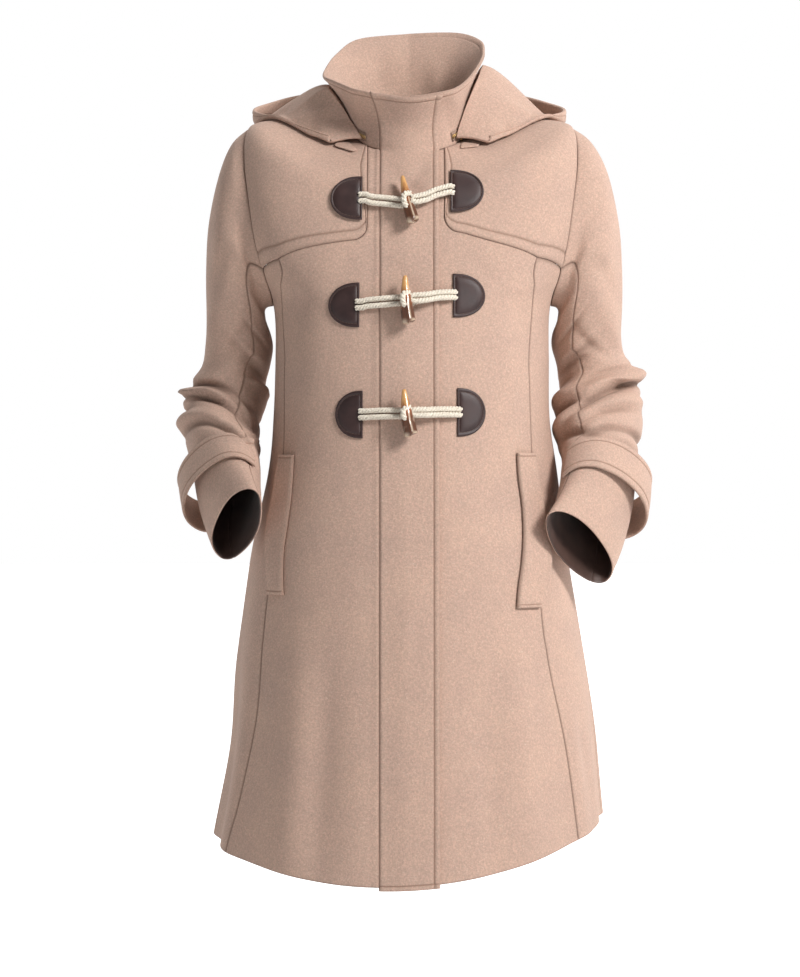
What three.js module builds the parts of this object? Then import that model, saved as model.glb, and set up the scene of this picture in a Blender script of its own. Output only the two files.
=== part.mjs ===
// Duffle coat in heathered melton wool, worn closed, with its sleeves reaching to its pockets.
// Millimetres, +Z up. The front faces -Y and the coat's own left is +X.
// The origin is the middle of the neck, level with the tops of the shoulders.
import * as THREE from "three";

// Driving dimensions
const WALL = 3; // cloth of the shell, two pressed layers at the edges
const SEAM_GAP = 0.3; // between two cloth pieces, and under what lies on a panel
const PLACKET_RIGHT = -34; // x of the placket's seam
const PLACKET_LEFT = 33; // x of the placket's free edge
const UNDERLAP = 0; // x where the left front ends under the placket
const YOKE_RAISE = 1.2; // how far a yoke stands proud of the panels beside it
const NECK_GAP = 1.5; // from a yoke's raised edge to the foot of the collar
const SHOULDER_ROW = 3; // row of BODY that crosses the shoulder tip
const ARMHOLE_GAP = 1; // how far the sleeve head starts outside the armhole's edge
const ARMPIT_ROW = 8;
const HEM_ROW = 15;
const ARMHOLE_STEPS = 12; // steps of each half armhole, from the shoulder tip to the armpit
const YOKE_STEP = 8; // step where the front yoke's lower edge meets the armhole
const BACK_YOKE_STEP = 7;
const SIDE_STEPS = 10; // steps of the side seam, from the hem to the armpit

// A table from its columns' names and its rows
const table = (names, rows) =>
  rows.map((row) => Object.fromEntries(names.split(" ").map((name, i) => [name, row[i]])));

// Rings of the coat's body from the neck seam to the hem. Heights of the front, side and back,
// half widths of the coat's right and left, depths to the front and back, the section's
// squareness (2 is an ellipse), the power that the height falls with towards the front,
// and how much lower the right side hangs.
const BODY = table("zFront zSide zBack right left front back square droop tilt", [
  [-71, -20, 12, 68, 68, 80, 68, 2.1, 0.6, 0],
  [-88, -20, -2, 108, 109, 92, 83, 2.1, 0.9, 0],
  [-105, -24, -22, 150, 152, 103, 94, 2.15, 1.3, 0],
  [-122, -33, -44, 187, 190, 112, 101, 2.3, 1.7, 0],
  [-146, -70, -82, 200, 203, 119, 106, 2.35, 2, 0],
  [-178, -115, -122, 200, 203, 126, 108, 2.4, 2, 0],
  [-208, -165, -168, 192, 196, 131, 106, 2.4, 2, 0],
  [-238, -210, -212, 175, 181, 136, 102, 2.35, 2, 0],
  [-262, -243, -246, 160, 166, 140, 99, 2.3, 2, 0],
  [-320, -310, -315, 158, 164, 145, 96, 2.25, 2, 0],
  [-385, -375, -375, 160, 165, 150, 97, 2.2, 2, 0],
  [-450, -440, -438, 167, 174, 157, 104, 2.2, 2, 0],
  [-560, -545, -540, 188, 187, 172, 122, 2.15, 2, 0],
  [-680, -655, -650, 203, 205, 186, 142, 2.1, 2, 3],
  [-790, -755, -752, 211, 218, 196, 156, 2.1, 2, 6],
  [-900, -855, -850, 230, 227, 204, 168, 2.1, 2, 12],
]);

// Flares of the skirt: where each stands round the body in degrees from the front (the
// coat's right is negative), its half breadth there, the row it starts from and its height.
const FLARES = [
  { turn: -63, spread: 9, from: 11.3, lift: 6 },
  { turn: -80, spread: 8, from: 11.3, lift: -6 },
  { turn: -108, spread: 15, from: 11, lift: 7 },
  { turn: -137, spread: 12, from: 11.5, lift: -8 },
  { turn: -160, spread: 11, from: 11, lift: 7 },
  { turn: 178, spread: 10, from: 12, lift: -6 },
  { turn: 152, spread: 13, from: 11.2, lift: 8 },
  { turn: 127, spread: 11, from: 12, lift: -8 },
  { turn: 104, spread: 12, from: 11, lift: 7 },
  { turn: 84, spread: 7, from: 12.4, lift: -5 },
  { turn: 67, spread: 8, from: 12, lift: 4 },
];

// Armhole: how far the front and back edges stand from the side line, in degrees
const ARMHOLE = { front: 24, back: 26, fullness: 0.6 };

// Front seams as seen from the front: the princess seam by height, for each side
const PRINCESS = [
  { z: -185, right: -151, left: 146 },
  { z: -250, right: -148, left: 141 },
  { z: -330, right: -145, left: 138 },
  { z: -430, right: -146, left: 140 },
  { z: -520, right: -155, left: 147 },
  { z: -590, right: -163, left: 149 },
  { z: -640, right: -168, left: 155 },
  { z: -730, right: -176, left: 172 },
  { z: -810, right: -190, left: 184 },
  { z: -900, right: -208, left: 194 },
];

// Lower edge of each front yoke from its upright inner edge outwards, distances from the middle
const YOKE_EDGE = {
  right: { inner: 49, corner: 66, low: -176, mid: 105, midZ: -181 },
  left: { inner: 40, corner: 57, low: -167, mid: 98, midZ: -178 },
};

const RIGHT = -1;
const LEFT = 1;
const DEGREE = Math.PI / 180;

const mix = (a, b, t) => a + (b - a) * t;
const clamp = (t, low, high) => Math.min(Math.max(t, low), high);
const smooth = (a, b, t) => {
  const s = clamp((t - a) / (b - a), 0, 1);
  return s * s * (3 - 2 * s);
};
const steps = (n) => Array.from({ length: n + 1 }, (_, i) => i / n);
const reach = (v, power) => Math.sign(v) * Math.abs(v) ** power;

// The value on a smooth curve through four neighbours, f of the way from b to c
function blend(a, b, c, d, f) {
  return (
    0.5 *
    (2 * b + (c - a) * f + (2 * a - 5 * b + 4 * c - d) * f * f + (3 * b - a - 3 * c + d) * f ** 3)
  );
}

// One named column of a table at a fractional row
function column(table, name, at) {
  const last = table.length - 1;
  const t = clamp(at, 0, last);
  const i = Math.min(Math.floor(t), last - 1);
  const row = (k) => table[clamp(k, 0, last)][name];
  return blend(row(i - 1), row(i), row(i + 1), row(i + 2), t - i);
}

// The fractional row of a table where a falling column reaches a value
function rowWhere(table, name, value) {
  let low = 0;
  let high = table.length - 1;
  for (let i = 0; i < 40; i++) {
    const middle = (low + high) / 2;
    if (column(table, name, middle) > value) low = middle;
    else high = middle;
  }
  return low;
}

// A point of the body's outer surface, without the flares: turn in radians round it, row of BODY
function plainBody(turn, row) {
  const s = Math.sin(turn);
  const c = Math.cos(turn);
  const power = 2 / column(BODY, "square", row);
  const width = column(BODY, s < 0 ? "right" : "left", row);
  const depth = column(BODY, c > 0 ? "front" : "back", row);
  const zSide = column(BODY, "zSide", row);
  const zFar = column(BODY, c > 0 ? "zFront" : "zBack", row);
  const x = width * reach(s, power);
  const y = -depth * reach(c, power);
  const fall = Math.abs(c) ** column(BODY, "droop", row);
  const z = mix(zSide, zFar, fall) + (column(BODY, "tilt", row) * x) / width;
  return new THREE.Vector3(x, y, z);
}

// How far the flares move the surface out at a turn and row
function flareLift(turn, row) {
  return FLARES.reduce((sum, flare) => {
    const away = (turn / DEGREE - flare.turn + 900) % 360 - 180;
    const bell = Math.exp(-((away / flare.spread) ** 2));
    return sum + flare.lift * bell * smooth(flare.from, HEM_ROW, row);
  }, 0);
}

function flaredBody(turn, row) {
  const p = plainBody(turn, row);
  const width = column(BODY, p.x < 0 ? "right" : "left", row);
  const depth = column(BODY, p.y < 0 ? "front" : "back", row);
  const out = new THREE.Vector3(p.x / width ** 2, p.y / depth ** 2, 0).normalize();
  return p.addScaledVector(out, flareLift(turn, row));
}

// The unit normal of a surface of two parameters, by small differences
function normalOf(surface, u, v, du, dv) {
  const across = surface(u + du, v).sub(surface(u - du, v));
  const along = surface(u, v + dv).sub(surface(u, v - dv));
  return across.cross(along).normalize();
}

// A point of the body moved out of its surface by lift
function bodyPoint(turn, row, lift = 0) {
  const held = clamp(row, 0.002, HEM_ROW - 0.002);
  const out = normalOf(flaredBody, turn, held, 0.004, 0.002);
  return flaredBody(turn, row).addScaledVector(out, -lift);
}

// The turn of a point of the body's front at a distance x from the middle plane, on a row
function turnAtX(x, row) {
  const width = column(BODY, x < 0 ? "right" : "left", row);
  const power = 2 / column(BODY, "square", row);
  return Math.sign(x) * Math.asin(clamp(Math.abs(x) / width, 0, 1) ** (1 / power));
}

// The turn and row of the front's point at x and z, seen from the front
function onFront(x, z) {
  let low = 0;
  let high = HEM_ROW;
  for (let i = 0; i < 40; i++) {
    const row = (low + high) / 2;
    if (plainBody(turnAtX(x, row), row).z > z) low = row;
    else high = row;
  }
  return [turnAtX(x, low), low];
}

// A point of an armhole's edge: step 0 is the shoulder tip and ARMHOLE_STEPS the armpit
function armhole(side, face, step) {
  const share = (1 - Math.cos((Math.PI * step) / ARMHOLE_STEPS)) / 2;
  const open = ARMHOLE[face] * Math.max(Math.sin(Math.PI * share), 0) ** ARMHOLE.fullness;
  const turn = face === "front" ? 90 - open : 90 + open;
  return [side * turn * DEGREE, mix(SHOULDER_ROW, ARMPIT_ROW, share)];
}

// The point a share of the way along a line of turn and row pairs with even steps
function along(line, share) {
  const t = clamp(share, 0, 1) * (line.length - 1);
  const i = Math.min(Math.floor(t), line.length - 2);
  return [mix(line[i][0], line[i + 1][0], t - i), mix(line[i][1], line[i + 1][1], t - i)];
}

// A net of turn and row pairs between two side lines of the same length
function ruledNet(near, far, columns) {
  return near.map((a, i) => steps(columns).map((t) => along([a, far[i]], t)));
}

// A net inside four lines: bottom and top run outwards, near and far run upwards
function fourSidedNet(bottom, top, near, far) {
  return near.map((a, j) => {
    const q = j / (near.length - 1);
    return bottom.map((b, i) => {
      const p = i / (bottom.length - 1);
      return [0, 1].map((k) => {
        const sides = mix(a[k], far[j][k], p);
        const ends = mix(b[k], top[i][k], q);
        const lowCorners = mix(bottom[0][k], bottom.at(-1)[k], p);
        const highCorners = mix(top[0][k], top.at(-1)[k], p);
        return sides + ends - mix(lowCorners, highCorners, q);
      });
    });
  });
}

// A net's edges moved in by half a seam, on the sides named: near, far, first, last
function insetNet(points, sides, gap = SEAM_GAP / 2) {
  const pull = (a, b) => a.clone().addScaledVector(b.clone().sub(a).normalize(), gap);
  const wide = points.map((row) => {
    const made = row.slice();
    if (sides.includes("near")) made[0] = pull(row[0], row[1]);
    if (sides.includes("far")) made[made.length - 1] = pull(row.at(-1), row.at(-2));
    return made;
  });
  const made = wide.slice();
  if (sides.includes("first")) made[0] = wide[0].map((p, i) => pull(p, wide[1][i]));
  if (sides.includes("last")) made[made.length - 1] = wide.at(-1).map((p, i) => pull(p, wide.at(-2)[i]));
  return made;
}

// A closed solid between an outer and an inner net of points
function wallBetween(outer, inner) {
  const rows = outer.length;
  const columns = outer[0].length;
  const points = [...outer.flat(), ...inner.flat()];
  const index = [];
  const at = (layer, j, i) => layer * rows * columns + j * columns + i;
  const quad = (a, b, c, d) => index.push(a, b, c, a, c, d);
  for (let j = 0; j < rows - 1; j++) {
    for (let i = 0; i < columns - 1; i++) {
      quad(at(0, j, i), at(0, j, i + 1), at(0, j + 1, i + 1), at(0, j + 1, i));
      quad(at(1, j, i), at(1, j + 1, i), at(1, j + 1, i + 1), at(1, j, i + 1));
    }
  }
  const end = columns - 1;
  const top = rows - 1;
  for (let j = 0; j < top; j++) {
    quad(at(0, j, 0), at(0, j + 1, 0), at(1, j + 1, 0), at(1, j, 0));
    quad(at(0, j, end), at(1, j, end), at(1, j + 1, end), at(0, j + 1, end));
  }
  for (let i = 0; i < end; i++) {
    quad(at(0, 0, i), at(1, 0, i), at(1, 0, i + 1), at(0, 0, i + 1));
    quad(at(0, top, i), at(0, top, i + 1), at(1, top, i + 1), at(1, top, i));
  }
  return closedGeometry(points, index);
}

// A geometry from shared points and triangles, turned so that its faces point out
function closedGeometry(points, index) {
  const volume = new THREE.Vector3();
  let sum = 0;
  for (let i = 0; i < index.length; i += 3) {
    const [a, b, c] = [points[index[i]], points[index[i + 1]], points[index[i + 2]]];
    sum += a.dot(volume.crossVectors(b, c));
  }
  if (sum < 0) {
    for (let i = 0; i < index.length; i += 3) [index[i], index[i + 1]] = [index[i + 1], index[i]];
  }
  const geometry = new THREE.BufferGeometry();
  geometry.setAttribute(
    "position",
    new THREE.Float32BufferAttribute(points.flatMap((p) => p.toArray()), 3),
  );
  geometry.setIndex(index);
  geometry.computeVertexNormals();
  return geometry;
}

const WOOL = new THREE.MeshStandardMaterial({ color: 0xc8a68c, roughness: 0.95, metalness: 0 });
const LEATHER = new THREE.MeshStandardMaterial({ color: 0x3c2826, roughness: 0.5, metalness: 0 });
const COTTON = new THREE.MeshStandardMaterial({ color: 0xe1dccd, roughness: 0.9, metalness: 0 });
const HORN = new THREE.MeshStandardMaterial({ color: 0x9a5a2c, roughness: 0.3, metalness: 0 });
const BRASS = new THREE.MeshStandardMaterial({ color: 0xb08d4a, roughness: 0.35, metalness: 1 });

const coat = new THREE.Group();

function add(name, geometry, material) {
  const mesh = new THREE.Mesh(geometry, material);
  mesh.name = name;
  coat.add(mesh);
}

// A cloth piece on the body: a net of turn and row pairs, how far its outer face is raised,
// and the distance that its last row keeps from the next piece
function bodyPiece(name, net, sides, raise = 0, lastGap = SEAM_GAP / 2) {
  const layer = (lift) => {
    const points = net.map((row) => row.map(([turn, at]) => bodyPoint(turn, at, lift)));
    return insetNet(insetNet(points, sides), ["last"], lastGap);
  };
  add(name, wallBetween(layer(raise), layer(raise - WALL)), WOOL);
}

const SIDE_NAMES = [
  { side: RIGHT, name: "right" },
  { side: LEFT, name: "left" },
];

// Rows of the side seam from the hem up to the armpit
const SIDE_ROWS = steps(SIDE_STEPS).map((t) => mix(HEM_ROW, ARMPIT_ROW, t));

// The princess seam's line on one side, from the hem to the yoke, one point for each row below
const ABOVE_ARMPIT = ARMHOLE_STEPS - YOKE_STEP;
function princessLine(name) {
  const yoke = YOKE_EDGE[name];
  const side = name === "right" ? RIGHT : LEFT;
  const top = onFront(PRINCESS[0][name], mix(yoke.midZ, yokeEnd(side)[2], 0.62));
  const hem = HEM_ROW;
  return steps(SIDE_STEPS + ABOVE_ARMPIT).map((t) => {
    const row = mix(hem, top[1], t);
    if (t === 1) return top;
    const z = plainBody(side * 50 * DEGREE, row).z;
    return [turnAtX(column(PRINCESS, name, rowWhere(PRINCESS, "z", z)), row), row];
  });
}

// Where the yoke's lower edge meets the armhole: turn, row and height
function yokeEnd(side) {
  const [turn, row] = armhole(side, "front", YOKE_STEP);
  return [turn, row, plainBody(turn, row).z];
}

// The yoke's lower edge from its rounded inner corner to the princess seam
const YOKE_COLUMNS = 7;
function yokeLowerLine(name, princessTop) {
  const side = name === "right" ? RIGHT : LEFT;
  const { inner, corner, low, mid, midZ } = YOKE_EDGE[name];
  const radius = corner - inner;
  const bend = [0, 0.35, 0.75, 1].map((t) => {
    const angle = (t * Math.PI) / 2;
    return onFront(side * (corner - radius * Math.cos(angle)), low + radius - radius * Math.sin(angle));
  });
  const bottom = onFront(side * mid, midZ);
  const level = steps(YOKE_COLUMNS - bend.length + 1).slice(1);
  return [...bend, ...level.map((t) => along([bend.at(-1), bottom, princessTop], t))];
}

// The yoke's upright inner edge from its corner to the neck seam
function yokeInnerLine(name, count) {
  const side = name === "right" ? RIGHT : LEFT;
  const { inner, corner, low } = YOKE_EDGE[name];
  const start = onFront(side * inner, low + corner - inner)[1];
  return steps(count).map((t) => {
    const row = mix(start, 0, t);
    return [turnAtX(side * inner, row), row];
  });
}

const UPPER_STEPS = YOKE_STEP + SHOULDER_ROW; // rows of a front yoke
const SIDE_COLUMNS = 4;
const FRONT_COLUMNS = 5;
const BACK_COLUMNS = 8;
const seams = {};
for (const { side, name } of SIDE_NAMES) {
  const princess = princessLine(name);
  const lower = yokeLowerLine(name, princess.at(-1));
  const inner = yokeInnerLine(name, UPPER_STEPS);
  const end = armhole(side, "front", YOKE_STEP);
  seams[name] = { inner };

  // Side front: between the princess seam and the side seam, which goes on as the armhole
  const sideSeam = SIDE_ROWS.map((row) => [side * 90 * DEGREE, row]);
  const frontArmhole = steps(ABOVE_ARMPIT)
    .slice(1)
    .map((t) => armhole(side, "front", mix(ARMHOLE_STEPS, YOKE_STEP, t)));
  bodyPiece(
    `side_front_${name}`,
    ruledNet(princess, [...sideSeam, ...frontArmhole], SIDE_COLUMNS),
    ["near", "far"],
  );

  // Front: from the placket's line out to the princess seam, then in along the yoke and up beside it
  const far = [...princess, ...lower.slice(0, -1).reverse(), ...inner.slice(1)];
  const edgeX = side === RIGHT ? PLACKET_RIGHT : UNDERLAP;
  const keys = [
    [0, HEM_ROW],
    [SIDE_STEPS, ARMPIT_ROW],
    [SIDE_STEPS + ABOVE_ARMPIT, 6.9],
    [SIDE_STEPS + ABOVE_ARMPIT + YOKE_COLUMNS, inner[0][1]],
    [far.length - 1, 0],
  ];
  const near = far.map((_, i) => {
    const k = keys.findLastIndex((key) => key[0] <= i && key[0] < far.length - 1);
    const [from, to] = [keys[k], keys[k + 1]];
    const row = mix(from[1], to[1], (i - from[0]) / (to[0] - from[0]));
    return [turnAtX(edgeX, row), row];
  });
  seams[name].centre = near;
  bodyPiece(`front_${name}`, ruledNet(near, far, FRONT_COLUMNS), ["near", "far"]);

  // Front yoke: a doubled layer with rounded lower corners, up to the neck and shoulder seams
  const bottom = [...lower, ...steps(SIDE_COLUMNS).slice(1).map((t) => along([princess.at(-1), end], t))];
  const outerEdge = [
    ...steps(YOKE_STEP).map((t) => armhole(side, "front", YOKE_STEP * (1 - t))),
    ...[2, 1, 0].map((row) => [side * 90 * DEGREE, row]),
  ];
  const neck = bottom.map((_, i) => [
    mix(inner.at(-1)[0], side * 90 * DEGREE, i / (bottom.length - 1)),
    0,
  ]);
  seams[name].neck = neck;
  bodyPiece(
    `yoke_${name}`,
    fourSidedNet(bottom, neck, inner, outerEdge),
    ["near", "first", "far"],
    YOKE_RAISE,
    NECK_GAP,
  );

  // Back half: from the side seam and armhole to the centre back seam
  const backArmhole = steps(ARMHOLE_STEPS - BACK_YOKE_STEP)
    .slice(1)
    .map((t) => armhole(side, "back", mix(ARMHOLE_STEPS, BACK_YOKE_STEP, t)));
  const outerLine = [...sideSeam, ...backArmhole];
  const centreBack = outerLine.map(([, row]) => [side * Math.PI, row]);
  bodyPiece(`back_${name}`, ruledNet(outerLine, centreBack, BACK_COLUMNS), ["near", "far"]);
}

// Back yoke: one piece across both shoulders
const backEdge = (side) => [
  ...steps(BACK_YOKE_STEP).map((t) => armhole(side, "back", BACK_YOKE_STEP * (1 - t))),
  ...[2, 1, 0].map((row) => [side * 90 * DEGREE, row]),
];
const wrap = ([turn, row]) => [turn < 0 ? turn + 2 * Math.PI : turn, row];
bodyPiece(
  "yoke_back",
  ruledNet(backEdge(LEFT), backEdge(RIGHT).map(wrap), 2 * BACK_COLUMNS),
  ["near", "first", "far"],
  YOKE_RAISE,
  NECK_GAP,
);

// Collar: a funnel that flares upwards and stands highest behind the neck. Its top edge by the
// turn round the neck in degrees from the front, the coat's right negative.
const COLLAR_TOP = [
  { turn: -180, x: 0, y: 92, z: 92 },
  { turn: -150, x: -62, y: 78, z: 83 },
  { turn: -125, x: -88, y: 48, z: 61 },
  { turn: -105, x: -100, y: 12, z: 39 },
  { turn: -88, x: -102, y: -26, z: 24 },
  { turn: -70, x: -93, y: -60, z: 14 },
  { turn: -50, x: -73, y: -84, z: 3 },
  { turn: -30, x: -46, y: -99, z: -6 },
  { turn: 0, x: 0, y: -107, z: -11 },
  { turn: 30, x: 38, y: -99, z: -5 },
  { turn: 50, x: 57, y: -82, z: 4 },
  { turn: 70, x: 72, y: -54, z: 19 },
  { turn: 88, x: 84, y: -20, z: 40 },
  { turn: 105, x: 90, y: 14, z: 58 },
  { turn: 125, x: 87, y: 46, z: 76 },
  { turn: 150, x: 60, y: 76, z: 90 },
  { turn: 180, x: 0, y: 92, z: 92 },
];

// A point of the collar's outer surface: turn in radians, height share from seam to top edge
function plainCollar(turn, share) {
  const foot = plainBody(turn, 0);
  const wrapped = turn > Math.PI ? turn - 2 * Math.PI : turn;
  const at = rowWhere(
    COLLAR_TOP.map((row) => ({ fall: -row.turn })),
    "fall",
    -wrapped / DEGREE,
  );
  const top = new THREE.Vector3(...["x", "y", "z"].map((k) => column(COLLAR_TOP, k, at)));
  const bow = 0.12 * Math.sin(Math.PI * clamp(share, 0, 1));
  const middle = new THREE.Vector3(0, 0, mix(foot.z, top.z, share));
  const p = foot.lerp(top, share);
  return p.addScaledVector(middle.sub(p), bow);
}

function collarPoint(turn, share, lift = 0) {
  const out = normalOf(plainCollar, turn, clamp(share, 0.03, 0.97), 0.02, 0.02);
  return plainCollar(turn, share).addScaledVector(out, lift);
}

const neckLine = (name) => {
  const { centre, inner, neck } = seams[name];
  const from = centre.at(-1)[0];
  const front = steps(FRONT_COLUMNS).map((t) => mix(from, inner.at(-1)[0], t));
  return [...front, ...neck.slice(1).map(([turn]) => turn)];
};
const backNeck = steps(2 * BACK_COLUMNS).map((t) => mix(Math.PI / 2, 1.5 * Math.PI, t));
const collarTurns = [
  ...neckLine("left"),
  ...backNeck.slice(1, -1),
  ...neckLine("right")
    .reverse()
    .map((turn) => turn + 2 * Math.PI),
];
const COLLAR_ROWS = [0.014, 0.25, 0.5, 0.75, 1];
const collarLayer = (lift) =>
  insetNet(
    COLLAR_ROWS.map((share) => collarTurns.map((turn) => collarPoint(turn, share, lift))),
    ["near", "far"],
  );
add("collar", wallBetween(collarLayer(0), collarLayer(-WALL)), WOOL);

// Placket: one strip from the hem to the collar's top, sewn at its right edge and lying over
// the left front, thicker at its free edge.
const PLACKET = [
  { x: PLACKET_RIGHT + 0.2, lift: 0 },
  { x: -22, lift: 1.9 },
  { x: -6, lift: 3.5 },
  { x: 12, lift: 3.5 },
  { x: 26, lift: 3.6 },
  { x: PLACKET_LEFT, lift: 4.6 },
];
const PLACKET_DROP = 4; // the strip hangs this much lower than the fronts
const COLLAR_CLEAR = 0.8; // extra room under the strip where the collar curves
const placketLayer = (inside) => {
  const depth = (lift, more = 0) => {
    const raised = lift < 3 ? lift : lift + more;
    return inside ? (lift < 3 ? lift - WALL : SEAM_GAP + 0.2 + more) : raised;
  };
  const rows = seams.right.centre.slice(0, -1).map(([, row]) => row);
  const onBody = rows.map((row) =>
    PLACKET.map(({ x, lift }) => bodyPoint(turnAtX(x, row), row, depth(lift))),
  );
  onBody[0].forEach((p) => p.add(new THREE.Vector3(0, 0, -PLACKET_DROP)));
  const corner = PLACKET.map(({ x, lift }) => {
    const turn = turnAtX(x, 0);
    const onBody = bodyPoint(turn, 0, depth(lift, COLLAR_CLEAR));
    return onBody.lerp(collarPoint(turn, 0, depth(lift, COLLAR_CLEAR)), 0.5);
  });
  const onCollar = [0.25, 0.5, 0.75, 1.02].map((share) =>
    PLACKET.map(({ x, lift }) => collarPoint(turnAtX(x, 0), share, depth(lift, COLLAR_CLEAR))),
  );
  return [...onBody, corner, ...onCollar];
};
add("placket", wallBetween(placketLayer(false), placketLayer(true)), WOOL);

// Sleeves: rings from the armhole to the cuff. Each ring's outer and inner point (x is the
// distance from the middle), its half depth, the angle in degrees that its fore side is raised
// by, how far its fore and back sides stand out, and how far the fore side leans inwards.
const SLEEVE_COLUMNS = "outX outY outZ inX inY inZ depth pitch belly lean";
const SLEEVE = {
  right: table(SLEEVE_COLUMNS, [
    [187, 0, -33, 160, 0, -243, 60, 0, 0, 0],
    [209, 2, -52, 168, 0, -245, 57, 0, 10, 0],
    [226, 4, -92, 171, 2, -250, 57, 0, 7, 0],
    [237, 9, -145, 170, 6, -257, 57, 0, 3, 0],
    [240, 17, -200, 168, 12, -264, 55, 0, 0, 0],
    [241, 26, -250, 165, 20, -275, 54, 0, 0, 0],
    [243, 35, -285, 163, 28, -292, 54, 2, 0, 0],
    [247, 44, -313, 166, 34, -314, 55, 6, 0, 0],
    [262, 50, -334, 171, 36, -333, 57, 13, 0, 0],
    [273, 50, -351, 169, 32, -351, 58, 21, 0, 0],
    [268, 40, -369, 175, 22, -370, 56, 29, 0, 0],
    [272, 27, -388, 176, 8, -389, 55, 35, 0, 0],
    [266, 10, -404, 181, -10, -404, 53, 40, 0, 0],
    [259, -8, -421, 177, -28, -421, 53, 43, 0, -0.05],
    [252, -28, -440, 173, -48, -440, 54, 45, 0, -0.1],
    [246, -51, -462, 173, -72, -462, 54, 47, 0, -0.16],
    [234, -76, -485, 172, -98, -484, 54, 49, 0, -0.22],
    [225, -93, -501, 170, -113, -498, 54, 50, 0, -0.25],
  ]),
  left: table(SLEEVE_COLUMNS, [
    [190, 0, -33, 166, 0, -243, 60, 0, 0, 0],
    [213, 2, -49, 173, 0, -245, 57, 0, 10, 0],
    [234, 4, -86, 176, 2, -250, 57, 0, 7, 0],
    [247, 9, -143, 175, 6, -257, 57, 0, 3, 0],
    [251, 17, -197, 173, 12, -264, 55, 0, 0, 0],
    [253, 26, -242, 170, 20, -275, 54, 0, 0, 0],
    [253, 35, -280, 170, 28, -290, 54, 2, 0, 0],
    [257, 43, -302, 174, 33, -307, 55, 6, 0, 0],
    [271, 49, -318, 177, 35, -323, 57, 13, 0, 0],
    [279, 50, -336, 178, 32, -341, 58, 21, 0, 0],
    [272, 42, -355, 172, 23, -361, 56, 28, 0, 0],
    [277, 28, -377, 171, 9, -382, 55, 34, 0, 0],
    [276, 12, -397, 173, -8, -402, 54, 39, 0, -0.02],
    [268, -6, -416, 179, -26, -422, 54, 42, 0, -0.08],
    [264, -26, -438, 176, -47, -446, 54, 44, 0, -0.16],
    [258, -50, -466, 174, -71, -474, 55, 46, 0, -0.26],
    [243, -75, -499, 168, -96, -503, 55, 48, 0, -0.36],
    [226, -94, -529, 161, -114, -523, 55, 50, 0, -0.44],
  ]),
};
const CUFF_ROW = SLEEVE.right.length - 1;

// Folds of the sleeves: the ring and the turn round the sleeve where each is deepest (0 is the
// outer side, 90 the front), its half breadth in rings, its spread round the sleeve, how many
// rings it falls by in a quarter turn, and its height.
const SLEEVE_FOLDS = {
  right: [
    { row: 8.7, turn: 70, breadth: 0.42, spread: 62, slant: -0.9, lift: -8 },
    { row: 9.5, turn: 70, breadth: 0.5, spread: 60, slant: -0.8, lift: 4 },
    { row: 10.5, turn: 40, breadth: 0.42, spread: 55, slant: -0.7, lift: -6 },
    { row: 7.6, turn: 140, breadth: 0.5, spread: 40, slant: 1.4, lift: -5 },
    { row: 12.3, turn: 110, breadth: 0.5, spread: 45, slant: -0.8, lift: -5 },
    { row: 4.6, turn: 55, breadth: 1.3, spread: 30, slant: -3.2, lift: 4 },
    { row: 9.2, turn: 250, breadth: 0.6, spread: 50, slant: 0.4, lift: -5 },
    { row: 11.2, turn: 285, breadth: 0.6, spread: 50, slant: -0.4, lift: -4 },
  ],
  left: [
    { row: 8.5, turn: 60, breadth: 0.42, spread: 60, slant: -0.5, lift: -8 },
    { row: 9.4, turn: 60, breadth: 0.5, spread: 60, slant: -0.6, lift: 4 },
    { row: 10.2, turn: 50, breadth: 0.42, spread: 60, slant: -0.6, lift: -6 },
    { row: 12.4, turn: 45, breadth: 0.5, spread: 55, slant: -0.5, lift: -6 },
    { row: 7.8, turn: 135, breadth: 0.5, spread: 40, slant: 1.2, lift: -5 },
    { row: 5.2, turn: 60, breadth: 1.2, spread: 30, slant: -3.4, lift: 3.5 },
    { row: 9.3, turn: 255, breadth: 0.6, spread: 50, slant: -0.3, lift: -5 },
    { row: 11.4, turn: 290, breadth: 0.6, spread: 50, slant: 0.4, lift: -4 },
  ],
};

// A ring's point, turn in degrees: the first ring is the armhole itself
function sleeveRing(name, turn, row) {
  const side = name === "right" ? RIGHT : LEFT;
  const held = clamp(row, 0, CUFF_ROW);
  if (held === 0) {
    const around = ((turn % 360) + 360) % 360;
    const face = around <= 180 ? "front" : "back";
    const step = ((face === "front" ? around : 360 - around) / 180) * ARMHOLE_STEPS;
    const p = plainBody(...armhole(side, face, step));
    p.x += side * ARMHOLE_GAP;
    return p;
  }
  const ring = SLEEVE[name][held];
  const c = Math.cos(turn * DEGREE);
  const s = Math.sin(turn * DEGREE);
  const pitch = ring.pitch * DEGREE;
  const value = (out, inner) => mix(inner, out, (1 + c) / 2);
  return new THREE.Vector3(
    side * (value(ring.outX, ring.inX) + ring.belly * s * s + ring.depth * s * ring.lean),
    value(ring.outY, ring.inY) - ring.depth * s * Math.cos(pitch),
    value(ring.outZ, ring.inZ) + ring.depth * s * Math.sin(pitch),
  );
}

function plainSleeve(name, turn, row) {
  const i = Math.min(Math.floor(clamp(row, 0, CUFF_ROW)), CUFF_ROW - 1);
  const [a, b, c, d] = [-1, 0, 1, 2].map((k) => sleeveRing(name, turn, i + k));
  return new THREE.Vector3(...["x", "y", "z"].map((k) => blend(a[k], b[k], c[k], d[k], row - i)));
}

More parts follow.
